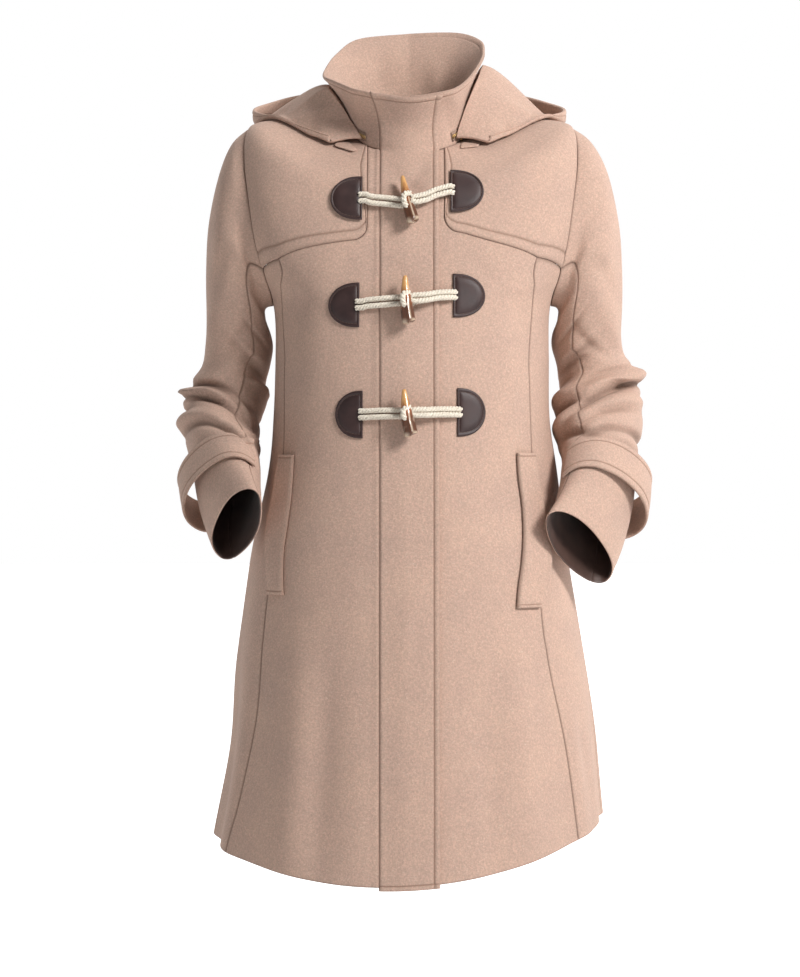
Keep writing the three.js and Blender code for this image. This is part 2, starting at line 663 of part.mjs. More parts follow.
function sleevePoint(name, turn, row, lift = 0) {
  const side = name === "right" ? RIGHT : LEFT;
  const surface = (u, v) => plainSleeve(name, u, v);
  const out = normalOf(surface, turn, clamp(row, 0.02, CUFF_ROW - 0.02), 1, 0.02);
  const fold = SLEEVE_FOLDS[name].reduce((sum, f) => {
    const away = ((turn - f.turn + 900) % 360) - 180;
    const across = (row - f.row - (f.slant * away) / 90) / f.breadth;
    return sum + f.lift * Math.exp(-(across ** 2) - (away / f.spread) ** 2);
  }, 0);
  return plainSleeve(name, turn, row).addScaledVector(out, side * (lift + fold));
}

const SLEEVE_WALL = 2.6;
const FRONT_SEAM = 120; // turn of the sleeve's front seam
const BACK_SEAM = -105;
const SLEEVE_ROWS = [
  0.012, 0.5, 1.1, 1.9, 2.8, 3.8, 4.9, 6, 6.8, 7.5, 8.1, 8.7, 9.3, 9.9, 10.5, 11.2, 12, 13, 14, 15, 16, 17,
];
const turnsBetween = (from, to) => steps(Math.abs(to - from) / 15).map((t) => mix(from, to, t));
const CUT = [
  { piece: "upper", from: BACK_SEAM, to: FRONT_SEAM },
  { piece: "under", from: FRONT_SEAM, to: BACK_SEAM + 360 },
];
for (const { name } of SIDE_NAMES) {
  for (const { piece, from, to } of CUT) {
    const layer = (lift) =>
      insetNet(
        SLEEVE_ROWS.map((row) => turnsBetween(from, to).map((turn) => sleevePoint(name, turn, row, lift))),
        ["near", "far"],
      );
    add(`sleeve_${piece}_${name}`, wallBetween(layer(0), layer(-SLEEVE_WALL)), WOOL);
  }
}

// Cuff straps: a band round the outside of each forearm, from the front seam to the back seam,
// that stands off the sleeve in its middle. Turn round the sleeve and how far it stands off.
const STRAP = [
  { turn: 129, off: 1.6 },
  { turn: 105, off: 2.2 },
  { turn: 80, off: 3 },
  { turn: 55, off: 4 },
  { turn: 30, off: 8 },
  { turn: 5, off: 13 },
  { turn: -15, off: 16 },
  { turn: -35, off: 16 },
  { turn: -55, off: 12 },
  { turn: -75, off: 6 },
  { turn: -97, off: 0.6 },
];
const STRAP_ROWS = { right: [13.75, 14.45, 15.15], left: [13.9, 14.55, 15.2] };
const STRAP_THICK = 3;
for (const { name } of SIDE_NAMES) {
  const layer = (more) =>
    STRAP_ROWS[name].map((row) =>
      STRAP.map(({ turn, off }) => sleevePoint(name, turn, row, off + more + SEAM_GAP)),
    );
  add(`cuff_strap_${name}`, wallBetween(layer(STRAP_THICK), layer(0)), WOOL);
}

// Pocket welts: a slanted strip on each princess seam, whose outer edge stands off the side.
// By height: the strip's outer and inner edge, distances from the middle, and its gape.
const WELTS = {
  right: [
    { z: -580, outer: 160, inner: 142, gape: 1 },
    { z: -556, outer: 161, inner: 143, gape: 3 },
    { z: -528, outer: 163, inner: 142, gape: 3 },
    { z: -500, outer: 160, inner: 138, gape: 4 },
    { z: -470, outer: 154, inner: 134, gape: 3.4 },
    { z: -443, outer: 150, inner: 132, gape: 3 },
    { z: -420, outer: 147, inner: 131, gape: 0.6 },
  ],
  left: [
    { z: -594, outer: 146, inner: 119, gape: 1 },
    { z: -570, outer: 154, inner: 121, gape: 3 },
    { z: -541, outer: 158, inner: 125, gape: 3 },
    { z: -510, outer: 155, inner: 127, gape: 4 },
    { z: -478, outer: 149, inner: 126, gape: 3.4 },
    { z: -446, outer: 144, inner: 122, gape: 3 },
    { z: -418, outer: 141, inner: 120, gape: 0.6 },
  ],
};
const WELT_THICK = 3.5;
for (const { side, name } of SIDE_NAMES) {
  const layer = (more) =>
    WELTS[name].map(({ z, outer, inner, gape }) =>
      steps(3).map((t) => {
        const [turn, row] = onFront(side * mix(inner, outer, t), z);
        return bodyPoint(turn, row, SEAM_GAP + 0.5 + more + gape * t * t);
      }),
    );
  add(`pocket_welt_${name}`, wallBetween(layer(WELT_THICK), layer(0)), WOOL);
}

// A flat piece on the front: its outline in x and z, laid on the body at a lift
function plateOnFront(outline, lift, thick) {
  const mean = (k) => outline.reduce((sum, at) => sum + at[k], 0) / outline.length;
  const centre = [mean(0), mean(1)];
  const place = ([x, z], share, high) => {
    const [turn, row] = onFront(mix(centre[0], x, share), mix(centre[1], z, share));
    return bodyPoint(turn, row, high);
  };
  const rings = [1, 0.5];
  const points = [];
  const index = [];
  const count = outline.length;
  for (const high of [lift, lift + thick]) {
    for (const share of rings) points.push(...outline.map((at) => place(at, share, high)));
    points.push(place(centre, 1, high));
  }
  const layer = rings.length * count + 1;
  for (let i = 0; i < count; i++) {
    const j = (i + 1) % count;
    index.push(i, j, layer + j, i, layer + j, layer + i);
    for (const [base, turned] of [
      [0, false],
      [layer, true],
    ]) {
      const [a, b, c, d, e] = [base + i, base + j, base + count + j, base + count + i, base + 2 * count];
      const faces = [
        [a, c, b],
        [a, d, c],
        [d, e, c],
      ];
      faces.forEach(([p, q, r]) => index.push(...(turned ? [p, r, q] : [p, q, r])));
    }
  }
  return closedGeometry(points, index);
}

const ON_YOKE = YOKE_RAISE + 1.5; // what lies on a yoke clears its raised face
// Toggle fastenings, a row for each. Leather patches: the straight edge nearest the middle, the
// far point of the round side, the top and the bottom. Toggles: the tip and the foot.
const FASTENINGS = [
  {
    right: { straight: -54, round: -90, top: -104, bottom: -154, raise: ON_YOKE },
    left: { straight: 46, round: 84, top: -96, bottom: -145, raise: ON_YOKE },
    tip: { x: -8.5, z: -110 },
    foot: { x: 4, z: -161 },
  },
  {
    right: { straight: -57, round: -92, top: -225, bottom: -276, raise: 0 },
    left: { straight: 48.5, round: 85, top: -215, bottom: -265, raise: 0 },
    tip: { x: -5.5, z: -221 },
    foot: { x: -1, z: -274 },
  },
  {
    right: { straight: -53, round: -84, top: -348, bottom: -402, raise: 0 },
    left: { straight: 53, round: 85, top: -345, bottom: -400, raise: 0 },
    tip: { x: -6.5, z: -348 },
    foot: { x: 1.5, z: -401 },
  },
];
const PATCH_THICK = 2;

// A patch's outline: straight towards the middle and round away from it
function patchOutline({ straight, round, top, bottom }) {
  const middle = (top + bottom) / 2;
  const half = (top - bottom) / 2;
  const arc = steps(10).map((t) => {
    const angle = Math.PI * (t - 0.5);
    return [mix(straight, round, reach(Math.cos(angle), 0.8)), middle + half * Math.sin(angle)];
  });
  return [...arc, [straight, middle]];
}

// A closed tube of an oval section along a smooth curve
function tube(route, wide, thick, count, corners = 8) {
  const shape = new THREE.Shape(
    Array.from({ length: corners }, (_, i) => {
      const angle = (2 * Math.PI * (i + 0.5)) / corners;
      return new THREE.Vector2((wide / 2) * Math.cos(angle), (thick / 2) * Math.sin(angle));
    }),
  );
  const path = new THREE.CatmullRomCurve3(route, false, "centripetal");
  return new THREE.ExtrudeGeometry(shape, { steps: count, bevelEnabled: false, extrudePath: path });
}

const CORD = 6.2; // diameter of one twisted cord
const LOOP_LIFT = 7.6; // of the loop's middle behind the toggle
const TOGGLE_LIFT = 18; // of the toggle's middle
const TOGGLE_RADIUS = 7; // at its middle
const TOGGLE = [
  { share: 0, radius: 0 },
  { share: 0.03, radius: 2.6 },
  { share: 0.25, radius: 4.6 },
  { share: 0.5, radius: 6.4 },
  { share: 0.75, radius: 7.6 },
  { share: 0.97, radius: 8 },
  { share: 1, radius: 0 },
];
// The end of the loop under the toggle: x, and the height as a share of the strands' spacing
const BIGHT = [
  { x: 4, up: 0.6 },
  { x: 5, up: 0 },
  { x: 4, up: -0.6 },
];
const LOOP_STEPS = 30;
const LOOP_CORNERS = 6;
const STRAND_GAP = 0.6; // between a strand and what it lies on, and from the middle of the loop
const frontPoint = (x, z, lift) => bodyPoint(...onFront(x, z), lift);
FASTENINGS.forEach(({ right, left, tip, foot }, i) => {
  const number = i + 1;
  for (const [name, patch] of Object.entries({ right, left })) {
    const plate = plateOnFront(patchOutline(patch), patch.raise + SEAM_GAP, PATCH_THICK);
    add(`patch_${name}_${number}`, plate, LEATHER);
  }

  // Toggle: a tapered length of horn, point up
  const [x, z] = ["x", "z"].map((k) => (foot[k] + tip[k]) / 2);
  const middle = frontPoint(x, z, TOGGLE_LIFT);
  const [below, above] = [foot, tip].map((end) => frontPoint(end.x, end.z, TOGGLE_LIFT));
  const length = below.distanceTo(above);
  const axis = above.sub(below).normalize();
  const profile = TOGGLE.map(({ share, radius }) => new THREE.Vector2(radius, length * (1 - share)));
  const horn = new THREE.LatheGeometry(profile.reverse(), 10);
  horn.applyQuaternion(new THREE.Quaternion().setFromUnitVectors(new THREE.Vector3(0, 1, 0), axis));
  horn.translate(...middle.addScaledVector(axis, -length / 2).toArray());
  add(`toggle_${number}`, horn, HORN);

  // Loop cord: out from the right patch, behind the toggle and back
  const patchZ = (right.top + right.bottom) / 2;
  const half = CORD / 2 + STRAND_GAP;
  const start = right.straight + 3 * SEAM_GAP;
  const strand = (up) => [
    frontPoint(start, patchZ + up * half, half + right.raise),
    frontPoint(start + 9, mix(patchZ, z, 0.4) + up * half, half + STRAND_GAP + right.raise),
    frontPoint(-26, mix(patchZ, z, 0.7) + up * half, 7),
    frontPoint(-12, z + up * half, LOOP_LIFT),
    frontPoint(1, z + up * half, LOOP_LIFT),
  ];
  const bight = BIGHT.map(({ x: bend, up }) => frontPoint(bend, z + up * half, LOOP_LIFT));
  const loop = [...strand(1), ...bight, ...strand(-1).reverse()];
  add(`loop_cord_${number}`, tube(loop, CORD, CORD, LOOP_STEPS, LOOP_CORNERS), COTTON);

  // Toggle cord: two strands sewn side by side, from the toggle to the left patch
  const leftZ = (left.top + left.bottom) / 2;
  const end = left.straight - SEAM_GAP;
  const reachZ = (t) => mix(z, leftZ, t);
  const route = [
    frontPoint(x + TOGGLE_RADIUS + SEAM_GAP, reachZ(0), TOGGLE_LIFT - 1),
    frontPoint(13, reachZ(0.12), TOGGLE_LIFT - 2),
    frontPoint(20, reachZ(0.3), 14),
    frontPoint(28, reachZ(0.6), 11.8),
    frontPoint(36, reachZ(0.8), 10),
    frontPoint(end, reachZ(1), CORD / 2 + 2.4 + left.raise),
  ];
  add(`toggle_cord_${number}`, tube(route, CORD, 2 * CORD, 12), COTTON);
});

// Hood, worn down: a bag that hangs behind the neck, open at the top. From the front end at the
// collar to the middle of the back: its rim, how its outer wall and its inner wall hang, and
// the turn round the neck where it is fixed. x is the distance from the middle.
const HOOD = table("rimX rimY rimZ outX outY outZ inX inY inZ turn", [
  [92, -58, -50, 95, -64, -66, 82, -58, -50, 50],
  [125, -38, -36, 130, -42, -56, 98, -44, -26, 64],
  [159, -8, -21, 166, -12, -48, 108, -20, 6, 80],
  [184, 32, -8, 192, 38, -60, 116, 16, 42, 98],
  [172, 76, 6, 187, 98, -95, 124, 78, 16, 118],
  [116, 126, 26, 140, 180, -190, 102, 172, -100, 146],
  [0, 152, 34, 0, 216, -265, 0, 202, -220, 180],
]);
// The same rows with the one past the middle of the back, mirrored, so that the bag is smooth there
const beside = HOOD.at(-2);
const BAG = [...HOOD, { ...beside, rimX: -beside.rimX, outX: -beside.outX, inX: -beside.inX }];
const HOOD_WALL = 4; // two layers of the cloth
const HOOD_CLEAR = 3.4; // least room over the shoulders
const HOOD_FREE = -60; // behind the shoulders the bag hangs free of the back
const HOOD_FOOT = { share: 0.1, atFront: 6, behind: 11 }; // where it meets the collar, and its room

// The height of the shoulders' surface over a point, or far below outside them
function shoulderTop(x, y) {
  const level = (row) => {
    const width = column(BODY, x < 0 ? "right" : "left", row);
    const depth = column(BODY, y < 0 ? "front" : "back", row);
    const square = column(BODY, "square", row);
    return (Math.abs(x) / width) ** square + (Math.abs(y) / depth) ** square - 1;
  };
  let low = 0;
  let high = 4.5;
  if (level(high) > 0 || level(low) < 0) return -1000;
  for (let i = 0; i < 30; i++) {
    const middle = (low + high) / 2;
    if (level(middle) > 0) low = middle;
    else high = middle;
  }
  return plainBody(turnOf(x, y, low), low).z;
}

function turnOf(x, y, row) {
  const turn = turnAtX(x, row);
  return y < 0 ? turn : Math.sign(x || 1) * Math.PI - turn;
}

// A point of the hood's middle surface: share 0 is the coat's right front end and 1 the left
// one, and down goes from the rim round the bag to the neck
function plainHood(share, down) {
  const side = share < 0.5 ? RIGHT : LEFT;
  const at = (1 - Math.abs(2 * share - 1)) * (HOOD.length - 1);
  const v = (key) => column(BAG, key, at);
  const turn = side * v("turn") * DEGREE;
  const room = mix(HOOD_FOOT.atFront, HOOD_FOOT.behind, smooth(2.5, 5, at));
  const foot = collarPoint(turn, HOOD_FOOT.share, room + HOOD_WALL / 2);
  const s = 1 - down;
  const weights = [s ** 3, 3 * s * s * down, 3 * s * down * down, down ** 3];
  const mixOf = (...values) => values.reduce((sum, value, i) => sum + value * weights[i], 0);
  const p = new THREE.Vector3(
    mixOf(side * v("rimX"), side * v("outX"), side * v("inX"), foot.x),
    mixOf(v("rimY"), v("outY"), v("inY"), foot.y),
    mixOf(v("rimZ"), v("outZ"), v("inZ"), foot.z),
  );
  const clear = mix(HOOD_CLEAR, HOOD_FREE, smooth(35, 85, p.y));
  const floor = shoulderTop(p.x, p.y) + clear + HOOD_WALL / 2 + YOKE_RAISE;
  p.z = Math.max(p.z, floor);
  return p;
}

function hoodPoint(share, down, lift) {
  const out = normalOf(plainHood, clamp(share, 0.02, 0.98), clamp(down, 0.03, 0.97), 0.01, 0.02);
  return plainHood(share, down).addScaledVector(out, lift);
}

const HOOD_STEPS = { down: 10, round: 26 };
const hoodLayer = (lift) =>
  steps(HOOD_STEPS.down).map((down) =>
    steps(HOOD_STEPS.round).map((share) => hoodPoint(share, down, lift)),
  );
add("hood", wallBetween(hoodLayer(HOOD_WALL / 2), hoodLayer(-HOOD_WALL / 2)), WOOL);

// Zip that holds the hood: a length of tape on each side of the collar's foot, and the slider,
// parked on the left one
const ZIP_TURNS = [46, 52, 58, 64, 70];
const ZIP_SHARES = [0.08, 0.24]; // of the collar's height
const TAPE_THICK = 1.1;
for (const { side, name } of SIDE_NAMES) {
  const layer = (lift) =>
    ZIP_SHARES.map((share) =>
      ZIP_TURNS.map((turn) => collarPoint(side * turn * DEGREE, share, lift)),
    );
  add(`zip_tape_${name}`, wallBetween(layer(SEAM_GAP + TAPE_THICK), layer(SEAM_GAP)), BRASS);
}
const SLIDER = { turn: 58, share: 0.16, lift: 2.3, long: 11, wide: 6, thick: 2.6 };
const sliderTurn = SLIDER.turn * DEGREE;
const slider = new THREE.Mesh(new THREE.BoxGeometry(SLIDER.wide, SLIDER.thick, SLIDER.long), BRASS);
slider.name = "zip_slider";
slider.position.copy(collarPoint(sliderTurn, SLIDER.share, SLIDER.lift + SLIDER.thick / 2));
slider.rotation.z = sliderTurn;
coat.add(slider);

// Tabs that cover the zip's ends, at the hood's front corners: outlines in x and z
const TABS = {
  right: [
    [-88, -64],
    [-66, -72],
    [-60, -70],
    [-70, -60],
    [-84, -57],
  ],
  left: [
    [58, -67],
    [80, -64],
    [84, -54],
    [72, -52],
    [60, -60],
  ],
};
const TAB_LIFT = { right: ON_YOKE, left: ON_YOKE - 1 };
const TAB_THICK = 1.6;
for (const [name, outline] of Object.entries(TABS)) {
  add(`hood_tab_${name}`, plateOnFront(outline, TAB_LIFT[name], TAB_THICK), WOOL);
}

export default coat;
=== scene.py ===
import math

import bpy
import numpy as np
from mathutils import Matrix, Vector


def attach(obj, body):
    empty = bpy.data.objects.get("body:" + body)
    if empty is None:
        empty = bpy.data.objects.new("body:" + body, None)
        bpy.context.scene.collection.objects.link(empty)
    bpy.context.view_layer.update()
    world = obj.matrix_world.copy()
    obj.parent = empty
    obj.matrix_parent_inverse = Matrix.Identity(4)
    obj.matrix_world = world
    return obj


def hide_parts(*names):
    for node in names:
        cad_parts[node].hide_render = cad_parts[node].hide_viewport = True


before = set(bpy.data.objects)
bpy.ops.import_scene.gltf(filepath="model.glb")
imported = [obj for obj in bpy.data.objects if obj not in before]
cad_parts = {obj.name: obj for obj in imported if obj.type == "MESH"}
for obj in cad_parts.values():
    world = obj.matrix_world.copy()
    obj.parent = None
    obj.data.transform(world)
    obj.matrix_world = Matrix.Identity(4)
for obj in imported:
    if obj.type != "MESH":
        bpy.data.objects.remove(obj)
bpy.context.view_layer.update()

# Camera: level, in front of the coat and a little below its middle, as the photograph was taken.
CAMERA_PLACE = (-0.0112, -3.3, -0.4584)
CAMERA_LENS = 103.05
camera_data = bpy.data.cameras.new("camera")
camera_data.lens = CAMERA_LENS
camera = bpy.data.objects.new("camera", camera_data)
camera.location = CAMERA_PLACE
camera.rotation_euler = (math.pi / 2, 0, 0)
bpy.context.scene.collection.objects.link(camera)
bpy.context.scene.camera = camera

# Studio: a pale floor where a wearer would stand, a bright backdrop behind, a large soft lamp
# high at the viewer's right and a weaker one at the left.
FLOOR_HEIGHT = -1.36
FLOOR_RADIUS = 30.0
FLOOR_SIDES = 96
FLOOR_GLOW = 0.17
AIR_BEFORE, AIR_BEHIND, AIR_SEEN = 0.18, 0.90, 1.0
LAMPS = [
    # name, place, size, watts, colour
    ("key", (2.3, -2.3, 1.6), 1.1, 158, (1.0, 0.99, 0.98)),
    ("fill", (-2.6, -2.4, 0.2), 2.2, 3, (0.97, 0.98, 1.0)),
    ("top", (0.4, 0.5, 2.4), 1.8, 16, (1.0, 1.0, 1.0)),
    ("rim", (-2.0, 1.8, 0.2), 1.2, 12, (1.0, 1.0, 1.0)),
    ("rim_right", (2.2, 1.7, 0.2), 1.4, 26, (1.0, 1.0, 1.0)),
]
LAMP_AIM = np.array([0.0, 0.0, -0.42])


def new_nodes(tree_owner):
    """Empties a material's or world's node tree and returns its nodes and a link function."""
    tree_owner.use_nodes = True
    tree = tree_owner.node_tree
    tree.nodes.clear()
    return tree.nodes, tree.links.new


def show(nodes, link, shader):
    """Puts a shader out as the material's surface."""
    link(shader.outputs[0], nodes.new("ShaderNodeOutputMaterial").inputs[0])


def set_inputs(node, **values):
    """Sets a node's inputs by name, with underscores for spaces."""
    for key, value in values.items():
        node.inputs[key.replace("_", " ")].default_value = value
    return node


angle = np.linspace(0, 2 * math.pi, FLOOR_SIDES, endpoint=False)
rim = np.stack([np.cos(angle), np.sin(angle), 0 * angle], -1) * FLOOR_RADIUS
rim[:, 2] = FLOOR_HEIGHT
floor_mesh = bpy.data.meshes.new("floor")
floor_mesh.from_pydata(rim.tolist(), [], [list(range(FLOOR_SIDES))])
floor = bpy.data.objects.new("floor", floor_mesh)
bpy.context.scene.collection.objects.link(floor)
floor_finish = bpy.data.materials.new("pale_floor")
nodes, link = new_nodes(floor_finish)
shader = set_inputs(
    nodes.new("ShaderNodeBsdfPrincipled"),
    Base_Color=(0.8, 0.8, 0.8, 1), Roughness=0.9, Emission_Color=(1, 1, 1, 1),
)
seen = nodes.new("ShaderNodeLightPath")
glow = set_inputs(nodes.new("ShaderNodeMapRange"), To_Min=FLOOR_GLOW, To_Max=1.0)
link(seen.outputs["Is Camera Ray"], glow.inputs["Value"])
link(glow.outputs[0], shader.inputs["Emission Strength"])
show(nodes, link, shader)
floor_mesh.materials.append(floor_finish)

world = bpy.data.worlds.new("studio")
bpy.context.scene.world = world
nodes, link = new_nodes(world)
place = nodes.new("ShaderNodeTexCoord")
split = nodes.new("ShaderNodeSeparateXYZ")
link(place.outputs["Generated"], split.inputs[0])
behind = set_inputs(
    nodes.new("ShaderNodeMapRange"), From_Min=-0.2, From_Max=0.7, To_Min=AIR_BEFORE, To_Max=AIR_BEHIND,
)
link(split.outputs["Y"], behind.inputs["Value"])
seen = nodes.new("ShaderNodeLightPath")
shown = nodes.new("ShaderNodeMix")
link(seen.outputs["Is Camera Ray"], shown.inputs[0])
link(behind.outputs[0], shown.inputs[2])
shown.inputs[3].default_value = AIR_SEEN
air = nodes.new("ShaderNodeBackground")
link(shown.outputs[0], air.inputs["Strength"])
air.inputs["Color"].default_value = (1, 1, 1, 1)
link(air.outputs[0], nodes.new("ShaderNodeOutputWorld").inputs[0])

for name, spot, size, watts, colour in LAMPS:
    lamp_data = bpy.data.lights.new(name, "AREA")
    lamp_data.size = size
    lamp_data.energy = watts
    lamp_data.color = colour
    lamp = bpy.data.objects.new(name, lamp_data)
    lamp.location = spot
    away = Vector(spot) - Vector(LAMP_AIM)
    lamp.rotation_euler = away.to_track_quat("Z", "Y").to_euler()
    bpy.context.scene.collection.objects.link(lamp)
bpy.context.scene.view_settings.view_transform = "Standard"

# Melton wool: a thick milled cloth of camel, pink, grey and tan fibres whose nap hides the weave.
# The inside of the coat and sleeves is faced with a smooth dark brown lining.
CAMEL = (0.455, 0.320, 0.252, 1)
PINK_FIBRE = (0.600, 0.390, 0.310, 1)
GREY_FIBRE = (0.290, 0.215, 0.185, 1)
PALE_FIBRE = (0.640, 0.490, 0.400, 1)
# Dark colour mixed into the cloth at its seams, along its topstitching and in the sleeves' deepest folds:
# partly nap pressed flat, partly painted shade in the grooves and fold valleys.
PRESSED_AND_SHADED_CAMEL = (0.13, 0.080, 0.058, 1)
PRESSED_AND_SHADED_SHARE = 0.58
LINING_BROWN = (0.045, 0.022, 0.016, 1)


def node_group(name, inputs, outputs):
    """A shader node group with float or colour sockets, its nodes, link function and ends."""
    group = bpy.data.node_groups.new(name, "ShaderNodeTree")
    for socket, kind in inputs:
        group.interface.new_socket(socket, in_out="INPUT", socket_type=kind)
    for socket, kind in outputs:
        group.interface.new_socket(socket, in_out="OUTPUT", socket_type=kind)
    start = group.nodes.new("NodeGroupInput")
    end = group.nodes.new("NodeGroupOutput")
    return group, group.nodes, group.links.new, start, end


def noise(nodes, link, where, scale, detail=2.0, roughness=0.5, stretch=None):
    """A noise texture on Object coordinates, stretched along its axes if asked."""
    if stretch:
        mapping = nodes.new("ShaderNodeMapping")
        mapping.inputs["Scale"].default_value = stretch
        link(where, mapping.inputs["Vector"])
        where = mapping.outputs[0]
    made = set_inputs(nodes.new("ShaderNodeTexNoise"), Scale=scale, Detail=detail, Roughness=roughness)
    link(where, made.inputs["Vector"])
    return made.outputs["Fac"]


def ramp(nodes, link, value, low, high, bottom=0.0, top=1.0):
    """Maps a value from one range to another and keeps it inside."""
    made = set_inputs(
        nodes.new("ShaderNodeMapRange"), From_Min=low, From_Max=high, To_Min=bottom, To_Max=top,
    )
    link(value, made.inputs["Value"])
    return made.outputs[0]


def blend(nodes, link, factor, a, b, mode="MIX"):
    """Mixes two colours by a factor. Each may be a socket or a colour."""
    made = nodes.new("ShaderNodeMix")
    made.data_type = "RGBA"
    made.blend_type = mode
    for socket, value in ((made.inputs[0], factor), (made.inputs[6], a), (made.inputs[7], b)):
        if isinstance(value, bpy.types.NodeSocket):
            link(value, socket)
        else:
            socket.default_value = value
    return made.outputs[2]


def scaled_sum(nodes, link, parts):
    """The sum of each value times its weight."""
    total = None
    for value, weight in parts:
        made = nodes.new("ShaderNodeMath")
        made.operation = "MULTIPLY_ADD"
        link(value, made.inputs[0])
        made.inputs[1].default_value = weight
        if total is None:
            made.inputs[2].default_value = 0.0
        else:
            link(total, made.inputs[2])
        total = made.outputs[0]
    return total


# Fibres: colour and height of the milled nap, at the scales that show from a step away.
group, nodes, link, start, end = node_group(
    "milled_nap",
    [(fibre, "NodeSocketColor") for fibre in ("Base", "Pink", "Grey", "Pale")],
    [("Color", "NodeSocketColor"), ("Height", "NodeSocketFloat")],
)
where = nodes.new("ShaderNodeTexCoord").outputs["Object"]
clumps = noise(nodes, link, where, 420, 3, 0.62)
flecks = noise(nodes, link, where, 900, 2, 0.6, (1.0, 1.0, 0.45))
cross_flecks = noise(nodes, link, where, 800, 2, 0.6, (0.45, 0.45, 1.0))
cloudy = noise(nodes, link, where, 22, 2, 0.5)
fuzz = noise(nodes, link, where, 2200, 2, 0.7)
colour = start.outputs["Base"]
for pattern, low, high, most, fibre in (
    (clumps, 0.42, 0.72, 1, "Pink"), (flecks, 0.54, 0.80, 0.75, "Grey"),
    (cross_flecks, 0.56, 0.80, 0.7, "Pale"),
):
    share = ramp(nodes, link, pattern, low, high, 0, most)
    colour = blend(nodes, link, share, colour, start.outputs[fibre])
darker, lighter = (0.95, 0.95, 0.96, 1), (1.04, 1.03, 1.02, 1)
shade = blend(nodes, link, ramp(nodes, link, cloudy, 0.3, 0.7), darker, lighter)
colour = blend(nodes, link, 1.0, colour, shade, "MULTIPLY")
link(colour, end.inputs["Color"])
height = scaled_sum(nodes, link, [(clumps, 0.5), (flecks, 0.25), (cross_flecks, 0.25), (fuzz, 0.35)])
link(height, end.inputs["Height"])
milled_nap = group


def melton(name):
    """The coat's cloth: fibres in the colour, a soft nap in the bump and sheen at grazing angles."""
    made = bpy.data.materials.new(name)
    nodes, link = new_nodes(made)
    nap = nodes.new("ShaderNodeGroup")
    nap.node_tree = milled_nap
    fibres = (("Base", CAMEL), ("Pink", PINK_FIBRE), ("Grey", GREY_FIBRE), ("Pale", PALE_FIBRE))
    for socket, value in fibres:
        nap.inputs[socket].default_value = value
    bump = set_inputs(nodes.new("ShaderNodeBump"), Strength=0.55, Distance=0.0011)
    link(nap.outputs["Height"], bump.inputs["Height"])
    shader = set_inputs(
        nodes.new("ShaderNodeBsdfPrincipled"),
        Roughness=0.93, Specular_IOR_Level=0.18, Sheen_Weight=0.16, Sheen_Roughness=0.45,
        Sheen_Tint=(1.0, 0.88, 0.80, 1),
    )
    # The darkening mask stored on the mesh mixes in the dark colour: pressed nap and painted shade at seams
    # and stitching, painted shade in fold valleys.
    pressed_and_shaded = nodes.new("ShaderNodeAttribute")
    pressed_and_shaded.attribute_name = "pressed_and_shaded"
    flat = ramp(nodes, link, pressed_and_shaded.outputs["Fac"], 0, 1, 0, PRESSED_AND_SHADED_SHARE)
    link(blend(nodes, link, flat, nap.outputs["Color"], PRESSED_AND_SHADED_CAMEL), shader.inputs["Base Color"])
    link(bump.outputs[0], shader.inputs["Normal"])
    show(nodes, link, shader)
    return made


wool = melton("melton_wool")


def satin_lining():
    """Dark brown lining: a fine cross weave with a soft gloss."""
    made = bpy.data.materials.new("brown_lining")
    nodes, link = new_nodes(made)
    where = nodes.new("ShaderNodeTexCoord").outputs["Object"]
    threads = noise(nodes, link, where, 1400, 2, 0.6, (1, 1, 0.2))
    soft = noise(nodes, link, where, 60, 2, 0.5)
    colour = blend(nodes, link, ramp(nodes, link, soft, 0.3, 0.7), LINING_BROWN, (0.075, 0.038, 0.028, 1))
    bump = set_inputs(nodes.new("ShaderNodeBump"), Strength=0.3, Distance=0.0003)
    link(threads, bump.inputs["Height"])
    shader = set_inputs(nodes.new("ShaderNodeBsdfPrincipled"), Roughness=0.42, Sheen_Weight=0.1)
    link(colour, shader.inputs["Base Color"])
    link(bump.outputs[0], shader.inputs["Normal"])
    show(nodes, link, shader)
    return made


lining = satin_lining()

# Body of the coat: melton panels sewn at the princess, side and centre back seams, hanging from
# double-cloth yokes. Rings of the body from the neck seam to the hem, in millimetres: heights of
# front, side and back, half widths right and left, depths front and back, squareness of the
# section, how fast the height falls towards the front, and how much lower the right side hangs.
MM = 0.001
WALL = 3.0
BODY = np.array([
    [-71, -20, 12, 68, 68, 80, 68, 2.1, 0.6, 0],
    [-88, -20, -2, 108, 109, 92, 83, 2.1, 0.9, 0],
    [-105, -24, -22, 150, 152, 103, 94, 2.15, 1.3, 0],
    [-122, -33, -44, 187, 190, 112, 101, 2.3, 1.7, 0],
    [-146, -70, -82, 200, 203, 119, 106, 2.35, 2, 0],
    [-178, -115, -122, 200, 203, 126, 108, 2.4, 2, 0],
    [-208, -165, -168, 192, 196, 131, 106, 2.4, 2, 0],
    [-238, -210, -212, 175, 181, 136, 102, 2.35, 2, 0],
    [-262, -243, -246, 160, 166, 140, 99, 2.3, 2, 0],
    [-320, -310, -315, 158, 164, 145, 96, 2.25, 2, 0],
    [-385, -375, -375, 160, 165, 150, 97, 2.2, 2, 0],
    [-450, -440, -438, 167, 174, 157, 104, 2.2, 2, 0],
    [-560, -545, -540, 188, 187, 172, 122, 2.15, 2, 0],
    [-680, -655, -650, 203, 205, 186, 142, 2.1, 2, 3],
    [-790, -755, -752, 211, 218, 196, 156, 2.1, 2, 6],
    [-900, -855, -850, 230, 227, 204, 168, 2.1, 2, 12],
])
SHOULDER_ROW, ARMPIT_ROW, HEM_ROW = 3, 8, 15
# Flares of the skirt: degrees round from the front, half breadth, first row, height
FLARES = np.array([
    [-63, 9, 11.3, 6], [-80, 8, 11.3, -6], [-108, 15, 11, 7], [-137, 12, 11.5, -8],
    [-160, 11, 11, 7], [178, 10, 12, -6], [152, 13, 11.2, 8], [127, 11, 12, -8],
    [104, 12, 11, 7], [84, 7, 12.4, -5], [67, 8, 12, 4],
])
